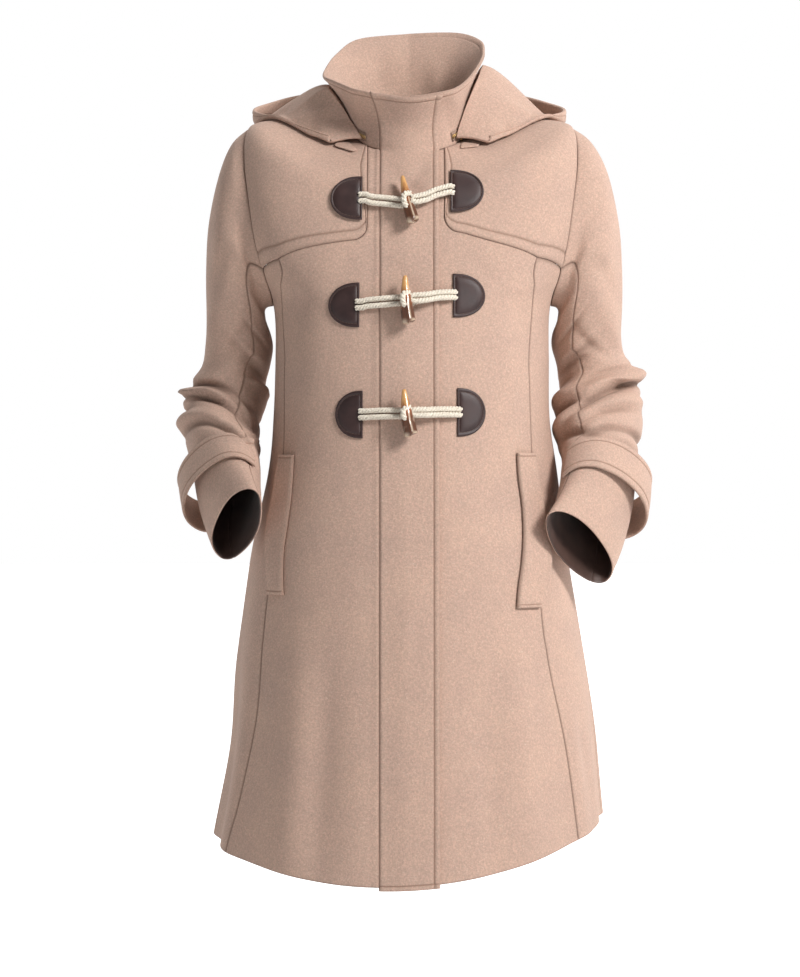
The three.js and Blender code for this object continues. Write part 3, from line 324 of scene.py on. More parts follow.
# Soft creases of the body, as seen from the front (face 1) or from behind (face -1): the two
# ends of each in x and z, its half breadth and its height.
BODY_CREASES = np.array([
    [1, -28, -92, 14, -128, 9, -1.6],
    [1, -30, -112, 20, -150, 8, 1.3],
    [1, 22, -88, -16, -122, 8, -1.0],
    [1, -120, -215, -150, -330, 12, -1.8],
    [1, -96, -235, -132, -400, 16, 1.5],
    [1, 116, -225, 150, -340, 12, -1.6],
    [1, 98, -240, 128, -420, 17, 1.3],
    [1, -60, -190, -96, -240, 11, -0.9],
    [1, 64, -188, 104, -236, 11, -0.9],
    [1, -118, -600, -138, -905, 20, 4.0],
    [1, -92, -640, -106, -915, 17, -3.0],
    [1, 112, -600, 140, -905, 20, 3.6],
    [1, 84, -690, 96, -910, 16, -2.6],
    [1, 176, -660, 201, -890, 9, 3.0],
    [1, 190, -700, 216, -880, 7, -2.8],
    [1, -52, -700, -58, -930, 18, 1.5],
    [1, -165, -640, -196, -880, 10, -2.6],
    [-1, -150, -150, -60, -240, 16, 3.6],
    [-1, 150, -150, 66, -235, 16, 3.4],
    [-1, -120, -300, 20, -345, 13, -3.8],
    [-1, 128, -325, -10, -372, 14, -3.6],
    [-1, -96, -350, 60, -392, 12, 3.2],
    [-1, 40, -600, 58, -900, 20, 5.0],
    [-1, -70, -560, -98, -900, 22, 5.4],
    [-1, -16, -640, -22, -900, 16, -4.2],
    [-1, 112, -580, 146, -880, 18, -4.6],
])


def rows_at(rows, at):
    """A smooth curve through a table's rows at fractional places: between rows b and c, whose
    neighbours are a and d, half of 2b + (c-a)f + (2a-5b+4c-d)f^2 + (3b-a-3c+d)f^3."""
    rows = np.asarray(rows, float)
    last = len(rows) - 1
    t = np.clip(at, 0, last)
    i = np.minimum(np.floor(t), last - 1).astype(int)
    f = (t - i)[..., None]
    a, b, c, d = (rows[np.clip(i + k, 0, last)] for k in (-1, 0, 1, 2))
    return 0.5 * (2 * b + (c - a) * f + (2 * a - 5 * b + 4 * c - d) * f**2 + (3 * b - a - 3 * c + d) * f**3)


def reach(value, power):
    """A value's size raised to a power, with its sign kept."""
    return np.sign(value) * np.abs(value) ** power


def smooth(a, b, t):
    """0 below a, 1 above b, and 3s^2 - 2s^3 between."""
    s = np.clip((t - a) / (b - a), 0, 1)
    return s * s * (3 - 2 * s)


def plain_body(turn, row):
    """The coat's outer surface before its flares: on each ring x is width times the sine and y
    depth times the cosine, each raised to the power 2/square, and the height falls from the side
    to the front or back with the cosine raised to the power droop."""
    columns = np.moveaxis(rows_at(BODY, row), -1, 0)
    z_front, z_side, z_back, right, left, front, back, square, droop, tilt = columns
    s, c = np.sin(turn), np.cos(turn)
    width = np.where(s < 0, right, left)
    x = width * reach(s, 2 / square)
    y = -np.where(c > 0, front, back) * reach(c, 2 / square)
    fall = np.abs(c) ** droop
    z = z_side + (np.where(c > 0, z_front, z_back) - z_side) * fall + tilt * x / width
    return np.stack([x, y, z], -1)


def flared_body(turn, row):
    """The body pushed out along each ring's normal by the sum of its flares, each a bell round
    the ring that grows from its first row to the hem."""
    p = plain_body(turn, row)
    columns = rows_at(BODY, row)
    width = np.where(p[..., 0] < 0, columns[..., 3], columns[..., 4])
    depth = np.where(p[..., 1] < 0, columns[..., 5], columns[..., 6])
    out = np.stack([p[..., 0] / width**2, p[..., 1] / depth**2, 0 * width], -1)
    out /= np.linalg.norm(out, axis=-1, keepdims=True)
    degrees = np.degrees(turn)[..., None]
    away = (degrees - FLARES[:, 0] + 900) % 360 - 180
    grown = smooth(FLARES[:, 2], HEM_ROW, np.asarray(row)[..., None])
    lift = (FLARES[:, 3] * np.exp(-((away / FLARES[:, 1]) ** 2)) * grown).sum(-1)
    return p + out * lift[..., None]


def across_both(surface, u, v, du, dv):
    """The cross product of a surface's small steps in its two parameters, as a unit vector."""
    step_u = surface(u + du, v) - surface(u - du, v)
    step_v = surface(u, v + dv) - surface(u, v - dv)
    n = np.cross(step_u, step_v)
    return n / np.linalg.norm(n, axis=-1, keepdims=True)


def body_out(turn, row):
    """The body's outward normal."""
    return -across_both(flared_body, turn, np.clip(row, 0.002, HEM_ROW - 0.002), 0.004, 0.002)


def creases(x, z, face, table):
    """The sum of creases: each falls off as a bell from the line between its ends and fades
    smoothly towards both ends."""
    p = np.stack([x, z], -1)[..., None, :]
    a, b = table[:, 1:3], table[:, 3:5]
    along = b - a
    share = ((p - a) * along).sum(-1) / (along**2).sum(-1)
    near = np.clip(share, 0, 1)
    distance = np.linalg.norm(p - a - near[..., None] * along, axis=-1)
    fade = smooth(-0.05, 0.35, share) * (1 - smooth(0.75, 1.1, share))
    shown = face[..., None] * table[:, 0] > 0
    return (table[:, 6] * np.exp(-((distance / table[:, 5]) ** 2)) * fade * shown).sum(-1)


def body_ease(turn, row):
    """How far the cloth stands off its even surface: creases and slow waves of under 1 mm."""
    p = plain_body(turn, row)
    x, y, z = np.moveaxis(p, -1, 0)
    face = -np.cos(turn)
    drags = creases(x, z, -face, BODY_CREASES) * smooth(0.02, 0.3, np.abs(np.cos(turn)))
    waves = 0.45 * np.sin(x / 23 + z / 61 + 1.0) * np.sin(z / 47 - x / 39 + y / 30)
    waves += 0.35 * np.sin(x / 41 - z / 33 + 2.2) * np.cos(z / 71 + y / 25)
    return drags + waves * smooth(0.5, 3, row)


def body_point(turn, row, lift=0.0):
    """A point of the coat's outside with its creases, moved out by a lift in millimetres."""
    turn, row = np.broadcast_arrays(np.asarray(turn, float), np.asarray(row, float))
    move = body_ease(turn, row) + lift
    return flared_body(turn, row) + body_out(turn, row) * np.asarray(move)[..., None]


def turn_at(x, row):
    """How far round a ring the front's point at x is."""
    columns = rows_at(BODY, row)
    width = np.where(x < 0, columns[..., 3], columns[..., 4])
    share = np.clip(np.abs(x) / width, 0, 1)
    return np.sign(x) * np.arcsin(share ** (columns[..., 7] / 2))


def on_front(x, z):
    """The turn and row of the front's point at x and z, found by halving."""
    x, z = np.broadcast_arrays(np.asarray(x, float), np.asarray(z, float))
    low, high = np.zeros(x.shape), np.full(x.shape, float(HEM_ROW))
    for _ in range(34):
        row = (low + high) / 2
        above = plain_body(turn_at(x, row), row)[..., 2] > z
        low, high = np.where(above, row, low), np.where(above, high, row)
    return turn_at(x, low), low


def front_point(x, z, lift):
    """A point over the front at x and z, at a lift."""
    return body_point(*on_front(x, z), lift)


def mesh_object(name, points, faces, finishes, finish_of=None):
    """A smooth mesh from points in millimetres, riding on the coat's one body."""
    mesh = bpy.data.meshes.new(name)
    mesh.from_pydata((points.reshape(-1, 3) * MM).tolist(), [], faces.tolist())
    for finish in finishes:
        mesh.materials.append(finish)
    mesh.polygons.foreach_set("use_smooth", np.ones(len(mesh.polygons), bool))
    if finish_of is not None:
        mesh.polygons.foreach_set("material_index", finish_of.astype(np.int32))
    mesh.update()
    made = bpy.data.objects.new(name, mesh)
    bpy.context.scene.collection.objects.link(made)
    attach(made, "root")
    return made


def grid_faces(rows, columns, closed=False):
    """Four-cornered faces of a grid, joined round its columns if closed."""
    across = columns if closed else columns - 1
    j, i = np.meshgrid(np.arange(rows - 1), np.arange(across), indexing="ij")
    a = j * columns + i
    b = j * columns + (i + 1) % columns
    return np.stack([a, b, b + columns, a + columns], -1).reshape(-1, 4)


def closed_sheet(name, outer, inner, outward, finishes, pressed_and_shaded=None):
    """A closed sheet between an outer and an inner grid whose edges meet. Faces are turned so
    that the first one looks the way of the outward vector. The darkening mask says where its
    colour is darkened: nap pressed flat, and painted shade in grooves and folds."""
    rows, columns = outer.shape[:2]
    faces = grid_faces(rows, columns)
    p = outer.reshape(-1, 3)
    middle = faces[len(faces) // 2 + columns // 2]
    normal = np.cross(p[middle[1]] - p[middle[0]], p[middle[2]] - p[middle[0]])
    inside = rows * columns + np.arange(rows * columns).reshape(rows, columns)
    outside = np.arange(rows * columns).reshape(rows, columns)
    for edge in ((0, slice(None)), (-1, slice(None)), (slice(None), 0), (slice(None), -1)):
        inside[edge] = outside[edge]
    back = inside.reshape(-1)[faces][:, ::-1]
    faces = np.concatenate([faces, back])
    if normal @ outward.reshape(-1, 3)[middle[0]] < 0:
        faces = faces[:, ::-1]
    used, faces = np.unique(faces, return_inverse=True)
    points = np.concatenate([p, inner.reshape(-1, 3)])[used]
    finish_of = np.repeat([0, len(finishes) - 1], len(back))
    made = mesh_object(name, points, faces.reshape(-1, 4), finishes, finish_of)
    if pressed_and_shaded is not None:
        both = np.concatenate([pressed_and_shaded.reshape(-1), 0 * pressed_and_shaded.reshape(-1)])[used]
        values = made.data.attributes.new("pressed_and_shaded", "FLOAT", "POINT").data
        values.foreach_set("value", both.astype(np.float32))
    return made


# Distances in from an edge, in millimetres, where a panel's grid has a line: a plain seam and an
# edge with a row of topstitching.
SEAM_EDGE = np.array([0, 0.15, 0.5, 1.0, 1.6, 2.6, 4.2])
STITCHED_EDGE = np.array([0, 0.15, 0.5, 1.0, 1.7, 2.8, 4.2, 5.3, 5.9, 6.5, 7.1, 7.7, 8.6, 10.5])
STITCH_IN = 6.5
SEAM_GAP = 0.3


def stations(length, first, last, step):
    """Places along a length: the first edge's distances, even steps, and the last edge's."""
    inner = np.max(length) - first[-1] - last[-1]
    even = np.linspace(0, 1, max(int(inner / step), 1) + 1)[1:-1]
    length = np.asarray(length, float)[..., None]
    middle = first[-1] + (length - first[-1] - last[-1]) * even
    return np.concatenate([first + 0 * length, middle, length - last[::-1]], -1)


def lattice(bottom, top, near, far, p, q):
    """Turns and rows inside four lines: the lines' weighted sum less that of the corners."""
    sides = near[:, None] * (1 - p[..., None]) + far[:, None] * p[..., None]
    ends = bottom * (1 - q[:, None, None]) + top * q[:, None, None]
    low = near[0] + (far[0] - near[0]) * p[..., None]
    high = near[-1] + (far[-1] - near[-1]) * p[..., None]
    return sides + ends - (low * (1 - q[:, None, None]) + high * q[:, None, None])


SEAM_ROLL = 1.5


def rolled(distance, thick):
    """How far a cut edge has rolled in at a distance from it: a quarter of a circle."""
    radius = thick / 2
    share = 1 - np.clip(distance / radius, 0, 1)
    return radius * (1 - np.sqrt(1 - share**2))


def stitched(distance):
    """The cloth beside topstitching: a groove at the thread and a soft roll towards the edge."""
    groove = -0.75 * np.exp(-(((distance - STITCH_IN) / 0.75) ** 2))
    roll = 0.5 * np.exp(-(((distance - 3.0) / 2.4) ** 2))
    return groove + roll


def sewn_in(distance):
    """The cloth beside a pressed seam: it dips towards the seam over about 3 mm."""
    return -0.45 * np.exp(-((distance / 1.3) ** 2)) + 0.22 * np.exp(-(((distance - 4) / 2.5) ** 2))


def flat_nap_and_seam_shade(sides):
    """Where the cloth is darkened, 0 to 1, in the seams, at stitched edges and along the topstitching: nap
    pressed flat there, and painted shade in the grooves.
    """
    at_seam = [np.exp(-((d / 1.5) ** 2)) for d, style in sides if style is not stitched]
    at_thread = [0.75 * np.exp(-(((d - STITCH_IN) / 0.8) ** 2)) for d, style in sides if style is stitched]
    at_edge = [0.5 * np.exp(-((d / 1.2) ** 2)) for d, style in sides if style is stitched]
    return np.max(at_seam + at_thread + at_edge, axis=0)


# Fronts, side fronts and backs: single melton over a lining, joined in pressed seams. The right
# front ends at the placket's seam and the left front runs on under the placket.
ARMHOLE_STEPS, SIDE_STEPS, YOKE_STEP, BACK_YOKE_STEP, YOKE_COLUMNS = 12, 10, 8, 7, 7
ABOVE_ARMPIT = ARMHOLE_STEPS - YOKE_STEP
TOP_OF_SIDE = SIDE_STEPS + ABOVE_ARMPIT
ARMHOLE_OPEN = {"front": 24, "back": 26}
ARMHOLE_FULLNESS = 0.6
PLACKET_RIGHT, PLACKET_LEFT, UNDERLAP = -34, 33, 0
SIDES = {"right": -1, "left": 1}
# The princess seam by height: z, right and left distance from the middle
PRINCESS = np.array([
    [-185, -151, 146], [-250, -148, 141], [-330, -145, 138], [-430, -146, 140], [-520, -155, 147],
    [-590, -163, 149], [-640, -168, 155], [-730, -176, 172], [-810, -190, 184], [-900, -208, 194],
])
YOKE_EDGE = {
    "right": dict(inner=49, corner=66, low=-176, mid=105, mid_z=-181),
    "left": dict(inner=40, corner=57, low=-167, mid=98, mid_z=-178),
}
YOKE_RAISE = 1.2


def armhole(side, face, step):
    """The armhole's edge as turn and row: it goes down from the shoulder tip with the cosine of
    the step and stands off the side line by the sine of that share raised to its fullness."""
    share = (1 - np.cos(np.pi * np.asarray(step, float) / ARMHOLE_STEPS)) / 2
    open_by = ARMHOLE_OPEN[face] * np.maximum(np.sin(np.pi * share), 0) ** ARMHOLE_FULLNESS
    turn = 90 - open_by if face == "front" else 90 + open_by
    return np.stack([side * np.radians(turn), SHOULDER_ROW + (ARMPIT_ROW - SHOULDER_ROW) * share], -1)


def princess_top(name):
    """Where the princess seam meets the yoke, as turn and row."""
    edge, side = YOKE_EDGE[name], SIDES[name]
    end = plain_body(*armhole(side, "front", YOKE_STEP))[2]
    x = PRINCESS[0, 1 if name == "right" else 2]
    return np.array(on_front(x, edge["mid_z"] + (end - edge["mid_z"]) * 0.62))


def princess_line(name, u):
    """The princess seam's turn and row, u steps up from the hem."""
    top = princess_top(name)
    u = np.asarray(u, float)
    row = HEM_ROW + (top[1] - HEM_ROW) * u / TOP_OF_SIDE
    z = plain_body(SIDES[name] * math.radians(50) + 0 * row, row)[..., 2]
    place = np.interp(-z, -PRINCESS[:, 0], np.arange(len(PRINCESS)))
    x = rows_at(PRINCESS, place)[..., 1 if name == "right" else 2]
    joined = smooth(TOP_OF_SIDE - 1.5, TOP_OF_SIDE, u)
    return np.stack([turn_at(x, row) * (1 - joined) + top[0] * joined, row], -1)


def side_line(side, u):
    """The side seam and then the front armhole up to the yoke, u steps up from the hem."""
    u = np.asarray(u, float)
    row = HEM_ROW + (ARMPIT_ROW - HEM_ROW) * u / SIDE_STEPS
    seam = np.stack([np.full(u.shape, side * np.pi / 2), row], -1)
    hole = armhole(side, "front", ARMHOLE_STEPS + SIDE_STEPS - np.maximum(u, SIDE_STEPS))
    return np.where(u[..., None] <= SIDE_STEPS, seam, hole)


def yoke_lower(name, k):
    """The yoke's lower edge, k steps out from its inner corner: a quarter circle and then a
    curve through its middle to the princess seam."""
    edge, side = YOKE_EDGE[name], SIDES[name]
    k = np.asarray(k, float)
    radius = edge["corner"] - edge["inner"]
    bend = np.interp(k, [0, 1, 2, 3], [0, 0.35, 0.75, 1]) * np.pi / 2
    x = side * (edge["corner"] - radius * np.cos(bend))
    corner = np.stack(on_front(x, edge["low"] + radius * (1 - np.sin(bend))), -1)
    ends = np.array([
        on_front(side * edge["inner"], edge["low"]), on_front(side * edge["corner"], edge["low"]),
        on_front(side * edge["mid"], edge["mid_z"]), princess_top(name),
    ])
    level = rows_at(ends, 1 + np.maximum(k - 3, 0) / 2)
    return np.where(k[..., None] < 3, corner, level)


def yoke_inner(name, t):
    """The yoke's upright inner edge from its corner up to the neck."""
    edge, side = YOKE_EDGE[name], SIDES[name]
    start = on_front(side * edge["inner"], edge["low"] + edge["corner"] - edge["inner"])[1]
    row = start * (1 - np.asarray(t, float))
    return np.stack([turn_at(side * edge["inner"] + 0 * row, row), row], -1)


UPPER_STEPS = YOKE_STEP + SHOULDER_ROW
FRONT_TOP = TOP_OF_SIDE + YOKE_COLUMNS + UPPER_STEPS


def front_outer(name, u):
    """The front's outer line: the princess seam, in along the yoke's lower edge, up its side."""
    u = np.asarray(u, float)[..., None]
    flat = u[..., 0]
    last = TOP_OF_SIDE + YOKE_COLUMNS
    yoke = yoke_lower(name, last - np.clip(flat, TOP_OF_SIDE, last))
    beside = yoke_inner(name, np.maximum(flat - TOP_OF_SIDE - YOKE_COLUMNS, 0) / UPPER_STEPS)
    upper = np.where(u < TOP_OF_SIDE + YOKE_COLUMNS, yoke, beside)
    return np.where(u <= TOP_OF_SIDE, princess_line(name, np.minimum(flat, TOP_OF_SIDE)), upper)


def front_centre(name, u):
    """The front's line towards the middle, level with the outer line's steps."""
    keys = [0, SIDE_STEPS, TOP_OF_SIDE, TOP_OF_SIDE + YOKE_COLUMNS, FRONT_TOP]
    rows = [HEM_ROW, ARMPIT_ROW, 6.9, yoke_inner(name, 0.0)[1], 0]
    row = np.interp(u, keys, rows)
    x = PLACKET_RIGHT if name == "right" else UNDERLAP
    return np.stack([turn_at(x + 0 * row, row), row], -1)


def edge_steps(first, last, parts):
    """Rows for a line in steps: fine ones at its two ends, in shares of a step, and even ones in
    each part, which gives the part's end and how many rows it has."""
    made, start = [np.asarray(first)], first[-1]
    for end, count in parts:
        made.append(np.linspace(start, end, count + 1)[1:])
        start = end
    top = parts[-1][0]
    bottom = parts[-2][0] if len(parts) > 1 else first[-1]
    made[-1] = np.linspace(bottom, top - last[-1], parts[-1][1] + 1)[1:]
    made.append(top - np.asarray(last)[::-1][1:])
    return np.concatenate(made)


def cloth_panel(name, at, sides, raised):
    """A panel: each side has its distance in millimetres and its finish, sewn or stitched. The
    outer face follows the body with its creases, and the edges roll in by half the wall."""
    base, out = flared_body(at[..., 0], at[..., 1]), body_out(at[..., 0], at[..., 1])
    ease = body_ease(at[..., 0], at[..., 1])
    rolls = [rolled(d, SEAM_ROLL if style in (sewn_in, ridge) else WALL) for d, style in sides]
    roll = np.max(rolls, axis=0)
    finish = sum(style(d) for d, style in sides)
    outer = base + out * (ease + raised + finish - roll)[..., None]
    inner = base + out * (ease + raised - WALL + 0.5 * finish + roll)[..., None]
    made = closed_sheet(name + "_cloth", outer, inner, out, [wool, lining], flat_nap_and_seam_shade(sides))
    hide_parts(name)
    return outer, out


def across(near, far, first, last, step):
    """Shares across a panel for each row, from its edges' distances and the rows' lengths."""
    t = np.linspace(0, 1, 9)[:, None, None]
    line = flared_body(*np.moveaxis(near + (far - near) * t, -1, 0))
    length = np.linalg.norm(np.diff(line, axis=0), axis=-1).sum(0)
    spots = stations(length, first, last, step)
    return spots / length[:, None], spots, length[:, None] - spots


def panel_grid(near, far, u, low_mm, high_mm, step):
    """A panel's grid between two lines, and each point's distance from near, far, low and high."""
    p, from_near, from_far = across(near, far, SEAM_EDGE, SEAM_EDGE, step)
    at = near[:, None] + (far - near)[:, None] * p[..., None]
    low, high = u[:, None] * low_mm + 0 * p, (u[-1] - u)[:, None] * high_mm + 0 * p
    return at, from_near, from_far, low, high


def plain(distance):
    """A raw or hidden edge: nothing but its roll."""
    return 0 * distance


def ridge(distance):
    """The cloth beside the placket's seam, pressed into a soft ridge."""
    return -0.4 * np.exp(-((distance / 1.2) ** 2)) + 0.9 * np.exp(-(((distance - 3.2) / 2.6) ** 2))


HEM_STEP_MM, TOP_STEP_MM, NECK_STEP_MM = 50, 12, 9
stitch_lines = []
for name, side in SIDES.items():
    # Side front: princess seam to side seam
    u = edge_steps(
        SEAM_EDGE / HEM_STEP_MM, SEAM_EDGE / TOP_STEP_MM, [(SIDE_STEPS, 130), (TOP_OF_SIDE, 16)],
    )
    near, far = princess_line(name, u), side_line(side, u)
    at, *edges = panel_grid(near, far, u, HEM_STEP_MM, TOP_STEP_MM, 4.5)
    styles = (sewn_in, sewn_in, plain, sewn_in)
    cloth_panel(
        f"side_front_{name}", at, list(zip(edges, styles)),
        0,
    )

    # Front: placket to princess seam, notched round the yoke
    u = edge_steps(
        SEAM_EDGE / HEM_STEP_MM, SEAM_EDGE / NECK_STEP_MM,
        [(TOP_OF_SIDE, 150), (TOP_OF_SIDE + YOKE_COLUMNS, 30), (FRONT_TOP, 28)],
    )
    near, far = front_centre(name, u), front_outer(name, u)
    at, *edges = panel_grid(near, far, u, HEM_STEP_MM, NECK_STEP_MM, 4.5)
    styles = (ridge if name == "right" else plain, sewn_in, plain, sewn_in)
    cloth_panel(
        f"front_{name}", at, list(zip(edges, styles)),
        0,
    )

    # Back half: side seam and armhole to the centre back seam
    top = SIDE_STEPS + ARMHOLE_STEPS - BACK_YOKE_STEP
    u = edge_steps(SEAM_EDGE / HEM_STEP_MM, SEAM_EDGE / TOP_STEP_MM, [(SIDE_STEPS, 130), (top, 22)])
    row = HEM_ROW + (ARMPIT_ROW - HEM_ROW) * u / SIDE_STEPS
    seam = np.stack([np.full(u.shape, side * np.pi / 2), row], -1)
    hole = armhole(side, "back", ARMHOLE_STEPS + SIDE_STEPS - np.maximum(u, SIDE_STEPS))
    near = np.where(u[:, None] <= SIDE_STEPS, seam, hole)
    far = np.stack([np.full(u.shape, side * np.pi), near[:, 1]], -1)
    at, *edges = panel_grid(near, far, u, HEM_STEP_MM, TOP_STEP_MM, 5.5)
    styles = (sewn_in, sewn_in, plain, sewn_in)
    cloth_panel(
        f"back_{name}", at, list(zip(edges, styles)),
        0,
    )


# Yokes: doubled melton over both shoulders, turned at the edges and topstitched. The front ones
# have a rounded lower corner beside the placket. The back one runs across both shoulders.
YOKE_WIDE = 118.0


def along_thread(points, out, gap=0.2):
    """Remembers a row of topstitching: its points, lying just over the cloth."""
    stitch_lines.append((points + out * gap, out))


for name, side in SIDES.items():
    steps_up = edge_steps(STITCHED_EDGE / NECK_STEP_MM, SEAM_EDGE / NECK_STEP_MM, [(UPPER_STEPS, 34)])
    q = steps_up / UPPER_STEPS
    width = YOKE_WIDE
    spots = stations(np.full(len(q), width), STITCHED_EDGE, SEAM_EDGE, 4.5)
    p = spots / width
    columns_out = YOKE_COLUMNS + 4
    k = p * columns_out
    join, end = princess_top(name), armhole(side, "front", YOKE_STEP)
    past = np.clip(k - YOKE_COLUMNS, 0, 4)[..., None] / 4
    lower = yoke_lower(name, np.minimum(k, YOKE_COLUMNS))
    bottom = np.where(k[..., None] < YOKE_COLUMNS, lower, join + (end - join) * past)
    near = yoke_inner(name, q)
    i = q * UPPER_STEPS
    hole = armhole(side, "front", YOKE_STEP - np.minimum(i, YOKE_STEP))
    row = SHOULDER_ROW - np.maximum(i - YOKE_STEP, 0)
    shoulder = np.stack([np.full(i.shape, side * np.pi / 2), row], -1)
    far = np.where(i[:, None] <= YOKE_STEP, hole, shoulder)
    neck = np.stack([near[-1, 0] + (side * np.pi / 2 - near[-1, 0]) * p, 0 * p], -1)
    at = lattice(bottom, neck, near, far, p, q)
    low = steps_up[:, None] * NECK_STEP_MM + 0 * p
    high = (UPPER_STEPS - steps_up)[:, None] * NECK_STEP_MM + 0 * p
    outer, out = cloth_panel(
        f"yoke_{name}", at,
        [(spots, stitched), (width - spots, sewn_in), (low, stitched), (high, sewn_in)],
        YOKE_RAISE,
    )
    j, i = np.argmin(np.abs(low[:, 0] - STITCH_IN)), np.argmin(np.abs(spots[0] - STITCH_IN))
    row_of = np.concatenate([outer[::-1, i][:len(outer) - j], outer[j, i:]])
    out_of = np.concatenate([out[::-1, i][:len(outer) - j], out[j, i:]])
    along_thread(row_of, out_of)

i = edge_steps(
    STITCHED_EDGE / TOP_STEP_MM, SEAM_EDGE / NECK_STEP_MM,
    [(BACK_YOKE_STEP, 26), (BACK_YOKE_STEP + SHOULDER_ROW, 14)],
)
ends = {}
for name, side in SIDES.items():
    hole = armhole(side, "back", BACK_YOKE_STEP - np.minimum(i, BACK_YOKE_STEP))
    row = SHOULDER_ROW - np.maximum(i - BACK_YOKE_STEP, 0)
    shoulder = np.stack([np.full(i.shape, side * np.pi / 2), row], -1)
    ends[name] = np.where(i[:, None] <= BACK_YOKE_STEP, hole, shoulder)
near, far = ends["left"], ends["right"].copy()
far[:, 0] += 2 * np.pi
at, *edges = panel_grid(near, far, i, TOP_STEP_MM, NECK_STEP_MM, 6)
outer, out = cloth_panel(
    "yoke_back", at, list(zip(edges, (sewn_in, sewn_in, stitched, sewn_in))),
    YOKE_RAISE,
)
j = np.argmin(np.abs(edges[2][:, 0] - STITCH_IN))
along_thread(outer[j], out[j])


# Collar: a funnel of melton with the same cloth inside, topstitched round its upper edge. It
# flares upwards and stands highest behind the neck. Its top edge by the turn round the neck.
COLLAR_TOP = np.array([
    [-180, 0, 92, 92], [-150, -62, 78, 83], [-125, -88, 48, 61], [-105, -100, 12, 39],
    [-88, -102, -26, 24], [-70, -93, -60, 14], [-50, -73, -84, 3], [-30, -46, -99, -6],
    [0, 0, -107, -11], [30, 38, -99, -5], [50, 57, -82, 4], [70, 72, -54, 19], [88, 84, -20, 40],
    [105, 90, 14, 58], [125, 87, 46, 76], [150, 60, 76, 90], [180, 0, 92, 92],
])
COLLAR_CREASES = np.array([
    [1, -50, -4, -38, -30, 3.2, -1.3],
    [1, -43, -4, -34, -22, 2.6, 1.0],
    [1, -58, 2, -44, -60, 7, -1.6],
    [1, -70, 6, -60, -56, 8, 1.4],
    [1, 40, -8, 48, -50, 7, -1.5],
    [1, 54, 2, 60, -50, 8, 1.4],
    [-1, -30, 70, -44, 0, 10, 1.8],
    [-1, 36, 60, 24, -8, 10, -1.8],
])
COLLAR_FOOT, COLLAR_BOW = -0.008, 0.12
COLLAR_CUT = (0.50, 0.085, 0.0385)


def plain_collar(turn, share):
    """From the neck seam straight to the top edge, drawn in towards the middle by 12 % of the
    sine of the height share, and by half of that at the sides."""
    foot = plain_body(turn, 0 * turn)
    wrapped = np.degrees((turn + np.pi) % (2 * np.pi) - np.pi)
    top = rows_at(COLLAR_TOP[:, 1:], np.interp(wrapped, COLLAR_TOP[:, 0], np.arange(len(COLLAR_TOP))))
    drawn_in = COLLAR_BOW * (1 - np.sin(turn) ** 2 / 2)
    bow = (drawn_in * np.sin(np.pi * np.clip(share, 0, 1)))[..., None]
    p = foot + (top - foot) * share[..., None]
    middle = np.stack([0 * share, 0 * share, p[..., 2]], -1)
    return p + (middle - p) * bow


def collar_out(turn, share):
    """The collar's outward normal."""
    return across_both(plain_collar, turn, np.clip(share, 0.03, 0.97), 0.02, 0.02)


def collar_ease(turn, share):
    """Drags of the collar, and slow waves of its upper edge."""
    p = plain_collar(turn, share)
    face = np.where(p[..., 1] < 0, 1, -1)
    drags = creases(p[..., 0], p[..., 2], face, COLLAR_CREASES)
    return drags + 0.7 * np.sin(5 * turn + 0.6) * np.sin(3 * turn + 2 * share) * share


def collar_point(turn, share, lift=0.0):
    """A point of the collar's outside, moved out by a lift."""
    turn, share = np.broadcast_arrays(np.asarray(turn, float), np.asarray(share, float))
    move = collar_ease(turn, share) * smooth(0, 0.25, share) + lift
    return plain_collar(turn, share) + collar_out(turn, share) * np.asarray(move)[..., None]


turn_end = turn_at(np.float64(PLACKET_RIGHT), np.float64(0)) + 2 * np.pi
ring = plain_collar(np.linspace(0, turn_end, 200), np.full(200, 0.6))
ring_length = np.linalg.norm(np.diff(ring, axis=0), axis=-1).sum()
spots = stations(np.array([ring_length]), SEAM_EDGE, SEAM_EDGE, 3.6)[0]
COLLAR_HIGH = 78.0
climb = stations(np.array([COLLAR_HIGH]), SEAM_EDGE, STITCHED_EDGE, 3.4)[0]
share = COLLAR_FOOT + (1 - COLLAR_FOOT) * climb / COLLAR_HIGH
turn, share = np.meshgrid(spots / ring_length * turn_end, share)
from_top = COLLAR_HIGH - climb[:, None] + 0 * turn
from_start, from_end = spots + 0 * turn, ring_length - spots + 0 * turn
out = collar_out(turn, share)
at_seams = np.minimum(np.minimum(climb[:, None] + 0 * turn, from_start), from_end)
roll = np.maximum(rolled(from_top, WALL), rolled(at_seams, SEAM_ROLL))
finish = stitched(from_top) + sewn_in(climb[:, None] + 0 * turn) + ridge(from_end)
middle = collar_point(turn, share)
outer = middle + out * (finish - roll)[..., None]
inner = middle + out * (roll - WALL - 0.5 * stitched(from_top))[..., None]
nap = flat_nap_and_seam_shade([(from_top, stitched), (at_seams, sewn_in)])
collar = closed_sheet("collar_cloth", outer, inner, out, [wool], nap)
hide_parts("collar")
width, length, area = COLLAR_CUT
j = np.argmin(np.abs(from_top[:, 0] - STITCH_IN))
along_thread(outer[j], out[j])

